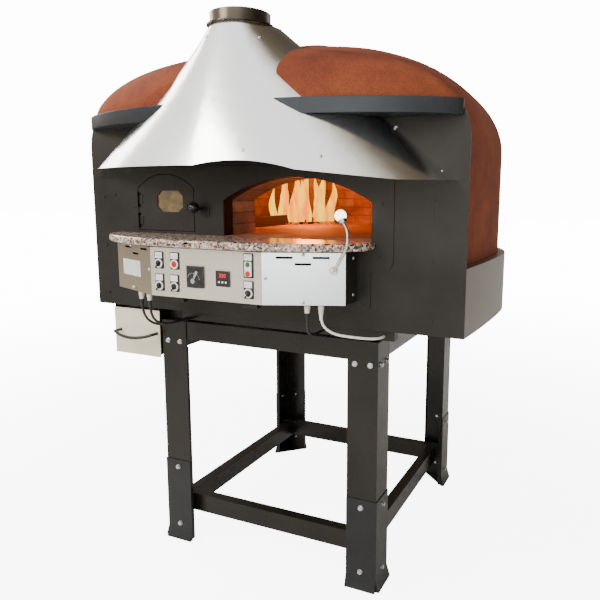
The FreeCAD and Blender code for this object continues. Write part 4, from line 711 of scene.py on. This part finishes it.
def addScrews():
    s = screwSettings
    template = screwTemplate()
    hoodScrews = []
    for x, z in s["hood"] + s["hoodFlange"]:
        place, normal = surfaceHit("hood_shell", (x, -1.5, z), (0, 1, 0))
        if place is not None:
            hoodScrews.append(copyTo(template, facing(place, normal)))
    boxScrews = []
    for side, rows in s["facetScrews"].items():
        for along, height in rows:
            place, outward = facetFrame(side, along, height)
            boxScrews.append(copyTo(template, facing(place + outward * 0.0001, outward)))
    for z, y in s["sideScrews"]:
        for side in (-1, 1):
            place = surfaceHit("control_box", (side * 1.5, y, z), (-side, 0, 0))[0]
            if place is not None:
                boxScrews.append(copyTo(template, facing(place, (side, 0, 0))))
    bpy.data.objects.remove(template)
    for group, name in ((hoodScrews, "hood_screws"), (boxScrews, "box_screws")):
        print(name, len(group))
        for copy in group:
            settle(copy)
        finishPiece(joinPieces(group), name, finish["zinc_bolts"], "oven_body")


addScrews()

# A bare plate on the left side of the control box
plateSettings = {"along": 0.110, "height": 1.050, "width": 0.128, "tall": 0.052, "thick": 0.0016}


def addBarePlate():
    s = plateSettings
    place, outward = facetFrame(-1, s["along"], s["height"])
    piece = addBox((-s["width"] / 2, -s["tall"] / 2, 0), (s["width"] / 2, s["tall"] / 2, s["thick"]))
    openMesh(piece)
    selectFaces(piece, lambda middle, normal: normal.z > 0.9)
    bpy.ops.mesh.inset(thickness=0.003)
    bpy.ops.transform.translate(value=(0, 0, -0.0005))
    closeMesh()
    roundEdges(piece, 0.0003, 2)
    piece.matrix_world = facing(place, outward)
    finishPiece(piece, "bare_plate", finish["switch_grey"], "oven_body")


addBarePlate()
print("screws and plate done")


# Instruments and switches

def textPiece(words, size, depth, place, outward):
    bpy.ops.object.text_add()
    piece = bpy.context.object
    piece.data.body = words
    piece.data.size = size
    piece.data.extrude = depth
    piece.data.align_x = "CENTER"
    piece.data.align_y = "CENTER"
    activate(piece)
    bpy.ops.object.convert(target="MESH")
    piece = bpy.context.object
    piece.matrix_world = facing(place, outward)
    return piece


def sunkPanel(node, rim, sink, edge):
    # A bezel with a sunk face in front and the case behind, in the place of the node
    low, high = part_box(node)
    piece = refineNode(node, 0.0)
    openMesh(piece)
    selectFaces(piece, lambda middle, normal: normal.y < -0.9 and middle.y < low.y + 0.0005)
    bpy.ops.mesh.dissolve_faces()
    bpy.ops.mesh.inset(thickness=rim)
    bpy.ops.transform.translate(value=(0, sink, 0))
    closeMesh()
    roundEdges(piece, edge, 2)
    smoothByAngle(piece)
    return piece


instrumentSettings = {
    "digits": "350", "digitSize": 0.0165, "buttonRadius": 0.0032, "buttonRow": (-0.012, 0.0, 0.012),
    "knobLength": 0.040, "knobWidth": 0.0095, "knobDepth": 0.0032, "knobTurn": 62, "controllerSink": 0.0012,
    "regulatorSink": 0.0015, "marks": 9, "firstMark": 20, "markStep": 16,
}
front = Vector((0, -1, 0))


def addController():
    s = instrumentSettings
    sunkPanel("temperature_controller", 0.0035, s["controllerSink"], 0.0005)
    low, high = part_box("temperature_controller")
    middle = (low + high) / 2
    face = low.y + s["controllerSink"]
    window = addBox((middle.x - 0.0185, face - 0.0006, middle.z - 0.001),
                    (middle.x + 0.0185, face + 0.0004, middle.z + 0.0185))
    roundEdges(window, 0.0003, 2)
    finishPiece(window, "controller_window", glowing("window_red", (0.030, 0.002, 0.001),
                (0.060, 0.004, 0.002), 0.5, 90.0), "oven_body")
    digits = textPiece(s["digits"], s["digitSize"], 0.0003,
                       (middle.x, face - 0.0008, middle.z + 0.0088), front)
    finishPiece(digits, "controller_digits", digitRed, "oven_body")
    keys = []
    for offset in s["buttonRow"]:
        key = addRod(s["buttonRadius"], 0.0014, 20)
        roundEdges(key, 0.0005, 2)
        key.matrix_world = facing((middle.x + offset, face - 0.0007, middle.z - 0.0105), front)
        settle(key)
        keys.append(key)
    finishPiece(joinPieces(keys), "controller_keys", legendWhite, "oven_body")


def addRegulator():
    s = instrumentSettings
    sunkPanel("flame_regulator", 0.004, s["regulatorSink"], 0.0006)
    low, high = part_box("flame_regulator")
    middle = (low + high) / 2
    face = low.y + s["regulatorSink"]
    half = s["knobLength"] / 2
    blade = addBox((-half, -s["knobWidth"] / 2, 0), (half, s["knobWidth"] / 2, s["knobDepth"]))
    openMesh(blade)
    selectFaces(blade, lambda place, normal: normal.x < -0.9)
    bpy.ops.transform.resize(value=(1, 0.45, 1), center_override=(0, 0, 0))
    closeMesh()
    roundEdges(blade, 0.0012, 3)
    disc = addRod(0.0078, 0.0024, 32, (-half * 0.75, 0, 0.0012))
    roundEdges(disc, 0.0006, 2)
    knob = joinPieces([blade, disc])
    knob.matrix_world = facing((middle.x, face, middle.z), front) @ Matrix.Rotation(
        math.radians(s["knobTurn"]), 4, "Z")
    finishPiece(knob, "regulator_pointer", markGrey, "oven_body")
    marks = []
    for step in range(s["marks"]):
        angle = math.radians(s["firstMark"] + step * s["markStep"])
        mark = addBox((0.0235, -0.0005, 0), (0.0265, 0.0005, 0.0004))
        mark.matrix_world = (facing((middle.x - 0.006, face, middle.z - 0.014), front)
                             @ Matrix.Rotation(angle, 4, "Z"))
        settle(mark)
        marks.append(mark)
    finishPiece(joinPieces(marks), "regulator_marks", legendWhite, "oven_body")


switchSettings = {
    "turning": {"selector_1": "selector_left_top", "selector_2": "selector_left_low",
                "selector_3": "selector_middle", "selector_4": "selector_right"},
    "panelFace": -0.616, "holderWidth": 0.0335, "holderLow": -0.0168, "holderHigh": 0.0372,
    "holderDepth": 0.0032, "ringOuter": 0.0145, "ringInner": 0.0101, "ringFace": -0.622,
    "legendWide": 0.027, "legendTall": 0.0185, "legendLift": 0.0255, "leverTurn": 132,
}


def switchPlaces():
    # Middles of the round bezels, read from the frame
    places = []
    for low, high in islandBoxes("switch_bezels"):
        size = high - low
        if size.y > 0.01:
            places.append(((low.x + high.x) / 2, (low.z + high.z) / 2, size.z))
    return places


def upright(piece, x, z, y):
    # Lays a piece modelled in the XY plane flat on the front of the box
    piece.matrix_world = facing((x, y, z), front)
    settle(piece)
    return piece


def addRing(outer, inner, depth):
    ring = addRod(outer, depth, 40, (0, 0, depth / 2))
    openMesh(ring)
    selectFaces(ring, lambda middle, normal: normal.z > 0.9)
    bpy.ops.mesh.inset(thickness=outer - inner)
    bpy.ops.mesh.extrude_region_move(TRANSFORM_OT_translate={"value": (0, 0, -depth * 0.7)})
    closeMesh()
    roundEdges(ring, 0.0007, 2)
    return ring


def addHolders():
    # Black holders with a white label above the switch and a pale ring round it, or a pale block for the pair
    s = switchSettings
    holders, labels, rings, words = [], [], [], []
    for x, z, tall in switchPlaces():
        pair = tall > 0.04
        rise = 0.0095 if pair else 0.0
        low, high = s["holderLow"] - rise, s["holderHigh"] + rise
        half = s["holderWidth"] / 2
        holder = addBox((-half, low, 0), (half, high, s["holderDepth"]))
        roundEdges(holder, 0.0022, 3)
        holders.append(upright(holder, x, z, s["panelFace"]))
        label = addBox((-s["legendWide"] / 2, -s["legendTall"] / 2, 0),
                       (s["legendWide"] / 2, s["legendTall"] / 2, 0.0014))
        roundEdges(label, 0.0005, 2)
        lift = s["legendLift"] + rise
        labels.append(upright(label, x, z + lift, s["panelFace"] - s["holderDepth"] + 0.0004))
        for mark, offset in (("0", -0.006), ("1", 0.006)):
            word = textPiece(mark, 0.0075, 0.0002, (x + offset, s["panelFace"] - s["holderDepth"] - 0.0010,
                                                    z + lift), front)
            settle(word)
            words.append(word)
        if pair:
            bezel = addBox((-0.0125, -0.0225, 0), (0.0125, 0.0225, 0.0056))
            roundEdges(bezel, 0.0035, 4)
            rings.append(upright(bezel, x, z, s["panelFace"]))
        else:
            rings.append(upright(addRing(s["ringOuter"], s["ringInner"], s["panelFace"] - s["ringFace"]),
                                 x, z, s["panelFace"]))
    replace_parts(finishPiece(joinPieces(holders), "switch_holders", finish["selector_black"], "oven_body"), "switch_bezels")
    finishPiece(joinPieces(labels), "switch_labels", legendWhite, "oven_body")
    finishPiece(joinPieces(rings), "switch_rings", legendWhite, "oven_body")
    finishPiece(joinPieces(words), "switch_marks", finish["selector_black"], "oven_body")


def addLevers():
    # Black lever with a white mark at its tip, on a drum that fills the ring
    s = switchSettings
    for node, body in s["turning"].items():
        low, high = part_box(node)
        x, z = (low.x + high.x) / 2, (low.z + high.z) / 2
        drum = addRod(0.0094, 0.010, 32, (0, 0, 0.004))
        roundEdges(drum, 0.0010, 2)
        blade = addBox((-0.0085, -0.0036, 0.004), (0.0150, 0.0036, 0.0150))
        openMesh(blade)
        selectFaces(blade, lambda middle, normal: normal.x > 0.9)
        bpy.ops.transform.resize(value=(1, 0.8, 0.72), center_override=(0.015, 0, 0.004))
        closeMesh()
        roundEdges(blade, 0.0012, 3)
        lever = joinPieces([drum, blade])
        mark = addBox((0.0030, -0.0010, 0.0136), (0.0128, 0.0010, 0.0143))
        turn = facing((x, s["panelFace"], z), front) @ Matrix.Rotation(math.radians(-s["leverTurn"]), 4, "Z")
        lever.matrix_world = turn
        mark.matrix_world = turn
        finishPiece(lever, node + "_lever", finish["selector_black"], body)
        finishPiece(mark, node + "_mark", legendWhite, body)
        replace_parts(lever, node)


addController()
addRegulator()
addHolders()
addLevers()
print("instruments done")

# Work lamp: smooth neck, and a chrome socket behind the globe
lampSettings = {"globe": (0.3571, -0.5546, 1.2365), "reach": 0.0174}
refineNode("lamp_neck", 0.0, dissolve=0)
lampPiece = refineNode("lamp_head", 0.0, dissolve=0)
paintFaces(lampPiece, finish["lamp_chrome"],
           lambda middle, normal: (middle - Vector(lampSettings["globe"])).length > lampSettings["reach"])

# Wood fire on the hearth beside the turning floor
fireSettings = {
    "middle": (0.141, 0.080), "floor": 1.157, "reach": 0.425,
    "flames": [(129, 0.18, 0.022), (134, 0.215, 0.028), (139, 0.20, 0.024), (144, 0.225, 0.030),
               (149, 0.19, 0.026), (153, 0.22, 0.028), (158, 0.20, 0.024), (163, 0.21, 0.026),
               (168, 0.15, 0.020)],
    "steps": 11, "logs": [(137, 0.445, 12, 0.022), (152, 0.450, -8, 0.024), (165, 0.440, 10, 0.019)],
    "logLength": 0.15, "embers": 34, "emberAngles": (126, 171), "emberReach": (0.405, 0.465),
}


def firePlace(angle, reach, lift=0.0):
    s = fireSettings
    turn = math.radians(angle)
    return Vector((s["middle"][0] + reach * math.cos(turn), s["middle"][1] + reach * math.sin(turn),
                   s["floor"] + lift))


def addFlames():
    # Each tongue is drawn up from a ring, swelling first and swaying as it narrows
    s = fireSettings
    chance = random.Random(7)
    tongues = []
    for angle, height, width in s["flames"]:
        bpy.ops.mesh.primitive_circle_add(vertices=14, radius=width * 0.7, fill_type="NGON")
        tongue = bpy.context.object
        openMesh(tongue)
        bpy.ops.mesh.select_all(action="SELECT")
        sway = chance.uniform(0, 6)
        size = width * 0.7
        along = Vector((0, 0, 0))
        for step in range(1, s["steps"] + 1):
            share = step / s["steps"]
            wanted = width * (0.75 + 1.1 * share * (1 - share)) * (1 - share ** 2.4) + 0.0007
            shift = Vector((math.sin(sway + 5.5 * share) * 0.006, math.cos(sway + 4.2 * share) * 0.004,
                            height / s["steps"]))
            along += shift
            bpy.ops.mesh.extrude_region_move(TRANSFORM_OT_translate={"value": shift})
            bpy.ops.transform.resize(value=(wanted / size, wanted / size, 1), center_override=along)
            size = wanted
        closeMesh()
        tongue.scale = (1.0, 0.55, 1.0)
        tongue.location = firePlace(angle, s["reach"], 0.012)
        tongue.rotation_euler = (0, 0, math.radians(angle + 90))
        settle(tongue)
        tongues.append(tongue)
    finishPiece(joinPieces(tongues), "flames", flameGlow, "oven_body", 80)


def addLogs():
    s = fireSettings
    logs = []
    for angle, reach, tilt, radius in s["logs"]:
        log = addRod(radius, s["logLength"], 18)
        openMesh(log)
        selectFaces(log, lambda middle, normal: abs(normal.z) > 0.9)
        bpy.ops.mesh.inset(thickness=radius * 0.22)
        bpy.ops.mesh.inset(thickness=radius * 0.3, depth=-0.003)
        closeMesh()
        roundEdges(log, 0.002, 2)
        log.matrix_world = (Matrix.Translation(firePlace(angle, reach, radius * 0.98))
                            @ Matrix.Rotation(math.radians(angle + 90 + tilt), 4, "Z")
                            @ Matrix.Rotation(math.radians(90), 4, "Y"))
        settle(log)
        logs.append(log)
    finishPiece(joinPieces(logs), "logs", charredWood, "oven_body", 40)


def addEmbers():
    s = fireSettings
    chance = random.Random(11)
    lumps = []
    for _ in range(s["embers"]):
        radius = chance.uniform(0.007, 0.014)
        place = firePlace(chance.uniform(*s["emberAngles"]), chance.uniform(*s["emberReach"]), radius * 0.5)
        bpy.ops.mesh.primitive_ico_sphere_add(subdivisions=2, radius=radius, location=place)
        lump = bpy.context.object
        lump.scale = (chance.uniform(0.8, 1.3), chance.uniform(0.8, 1.3), 0.5)
        settle(lump)
        lumps.append(lump)
    finishPiece(joinPieces(lumps), "embers", emberGlow, "oven_body", 30)


addFlames()
addLogs()
addEmbers()
print("fire done")

# Floor, sky and lights
floorSettings = {"size": 60.0, "drop": 0.0008, "near": 1.4, "far": 6.0, "nearGlow": 7.0, "farGlow": 14.0}
skySettings = {
    "around": [(0.0, (0.28, 0.25, 0.22)), (0.16, (0.05, 0.035, 0.022)), (0.28, (0.09, 0.07, 0.045)),
               (0.40, (0.52, 0.48, 0.40)), (0.49, (0.54, 0.55, 0.57)), (0.58, (0.50, 0.52, 0.55)),
               (0.64, (0.08, 0.07, 0.06)), (0.80, (0.06, 0.05, 0.035)), (0.93, (0.46, 0.39, 0.30)),
               (1.0, (0.28, 0.25, 0.22))],
    "above": [(0.0, (0.05, 0.04, 0.03)), (0.10, (0.10, 0.08, 0.06)), (0.19, (1.0, 0.99, 0.96)),
              (0.56, (1.0, 1.0, 1.0)), (0.66, (0.50, 0.46, 0.38)), (0.76, (0.09, 0.07, 0.045)),
              (1.0, (0.05, 0.04, 0.03))],
    "rise": (0.08, 0.34), "strength": 1.9, "shown": 14.0,
}
lightSettings = {
    "key": {"place": (-1.9, -3.4, 3.2), "target": (0.0, -0.3, 1.2), "size": 1.6, "power": 120,
            "colour": (1.0, 0.96, 0.90)},
    "front": {"place": (0.9, -4.2, 1.4), "target": (0.0, -0.3, 1.0), "size": 2.0, "power": 30,
              "colour": (1.0, 0.99, 0.97)},
    "left": {"place": (-3.4, 0.6, 2.8), "target": (-0.3, 0.1, 1.4), "size": 1.6, "power": 60,
             "colour": (1.0, 0.93, 0.82)},
    "back": {"place": (1.2, 3.8, 2.4), "target": (0.0, 0.2, 1.0), "size": 2.0, "power": 16,
             "colour": (1.0, 0.97, 0.93)},
}
fireLight = {"place": (-0.13, 0.20, 1.30), "power": 7, "colour": (1.0, 0.17, 0.02), "radius": 0.06}


def addFloor():
    # The floor stays pale to the eye and grows white with distance, but throws little light back
    s = floorSettings
    bpy.ops.mesh.primitive_plane_add(size=s["size"], location=(0, 0, -s["drop"]))
    ground = bpy.context.object
    ground.name = "floor"
    material, tree, shader = startMaterial("pale_floor", 0.0, Roughness=0.9, Specular_IOR_Level=0.1)
    shade = noiseValue(tree, stretchedPlace(tree, (1, 1, 1)), 2.0)
    tree.links.new(colourRamp(tree, shade, [(0.2, (0.78, 0.77, 0.76)), (0.8, (0.82, 0.81, 0.80))]),
                   shader.inputs["Base Color"])
    place = addNode(tree, "ShaderNodeTexCoord").outputs["Object"]
    distance = addNode(tree, "ShaderNodeVectorMath", {"operation": "LENGTH"}, Vector=place).outputs["Value"]
    growth = addNode(tree, "ShaderNodeMapRange", None, Value=distance, From_Min=s["near"], From_Max=s["far"],
                     To_Min=s["nearGlow"], To_Max=s["farGlow"]).outputs["Result"]
    sight = addNode(tree, "ShaderNodeLightPath").outputs["Is Camera Ray"]
    seen = addNode(tree, "ShaderNodeMath", {"operation": "MULTIPLY"})
    tree.links.new(growth, seen.inputs[0])
    tree.links.new(sight, seen.inputs[1])
    shader.inputs["Emission Color"].default_value = (1, 1, 1, 1)
    tree.links.new(seen.outputs[0], shader.inputs["Emission Strength"])
    ground.data.materials.append(material)


def addSky():
    # Around the horizon: dark on the left, cream to white in front, dark on the right, beige behind
    world = bpy.data.worlds.new("studio")
    bpy.context.scene.world = world
    world.use_nodes = True
    tree = world.node_tree
    plain = tree.nodes["Background"]
    place = addNode(tree, "ShaderNodeTexCoord").outputs["Generated"]
    parts = addNode(tree, "ShaderNodeSeparateXYZ", None, Vector=place)
    ahead = addNode(tree, "ShaderNodeMath", {"operation": "MULTIPLY"})
    tree.links.new(parts.outputs["Y"], ahead.inputs[0])
    ahead.inputs[1].default_value = -1
    angle = addNode(tree, "ShaderNodeMath", {"operation": "ARCTAN2"})
    tree.links.new(parts.outputs["X"], angle.inputs[0])
    tree.links.new(ahead.outputs[0], angle.inputs[1])
    turn = addNode(tree, "ShaderNodeMapRange", None, Value=angle.outputs[0], From_Min=-math.pi,
                   From_Max=math.pi).outputs["Result"]
    around = colourRamp(tree, turn, skySettings["around"])
    above = colourRamp(tree, turn, skySettings["above"])
    lift = addNode(tree, "ShaderNodeMapRange", {"interpolation_type": "SMOOTHSTEP"}, Value=parts.outputs["Z"],
                   From_Min=skySettings["rise"][0], From_Max=skySettings["rise"][1]).outputs["Result"]
    blend = addNode(tree, "ShaderNodeMix", {"data_type": "RGBA"})
    tree.links.new(lift, blend.inputs[0])
    tree.links.new(around, blend.inputs[6])
    tree.links.new(above, blend.inputs[7])
    tree.links.new(blend.outputs[2], plain.inputs["Color"])
    plain.inputs["Strength"].default_value = skySettings["strength"]
    shown = addNode(tree, "ShaderNodeBackground", None, Color=(1, 1, 1, 1), Strength=skySettings["shown"])
    sight = addNode(tree, "ShaderNodeLightPath").outputs["Is Camera Ray"]
    mixed = addNode(tree, "ShaderNodeMixShader")
    tree.links.new(sight, mixed.inputs[0])
    tree.links.new(plain.outputs[0], mixed.inputs[1])
    tree.links.new(shown.outputs[0], mixed.inputs[2])
    tree.links.new(mixed.outputs[0], tree.nodes["World Output"].inputs["Surface"])


def addLights():
    for name, s in lightSettings.items():
        bpy.ops.object.light_add(type="AREA", location=s["place"])
        light = bpy.context.object
        light.name = name
        light.data.size = s["size"]
        light.data.energy = s["power"]
        light.data.color = s["colour"]
        light.rotation_euler = (Vector(s["target"]) - Vector(s["place"])).to_track_quat("-Z", "Y").to_euler()


def addFireLight():
    s = fireLight
    bpy.ops.object.light_add(type="POINT", location=s["place"])
    light = bpy.context.object
    light.name = "fire"
    light.data.energy = s["power"]
    light.data.color = s["colour"]
    light.data.shadow_soft_size = s["radius"]


addFloor()
addSky()
addLights()
addFireLight()
print("floor and lights done")
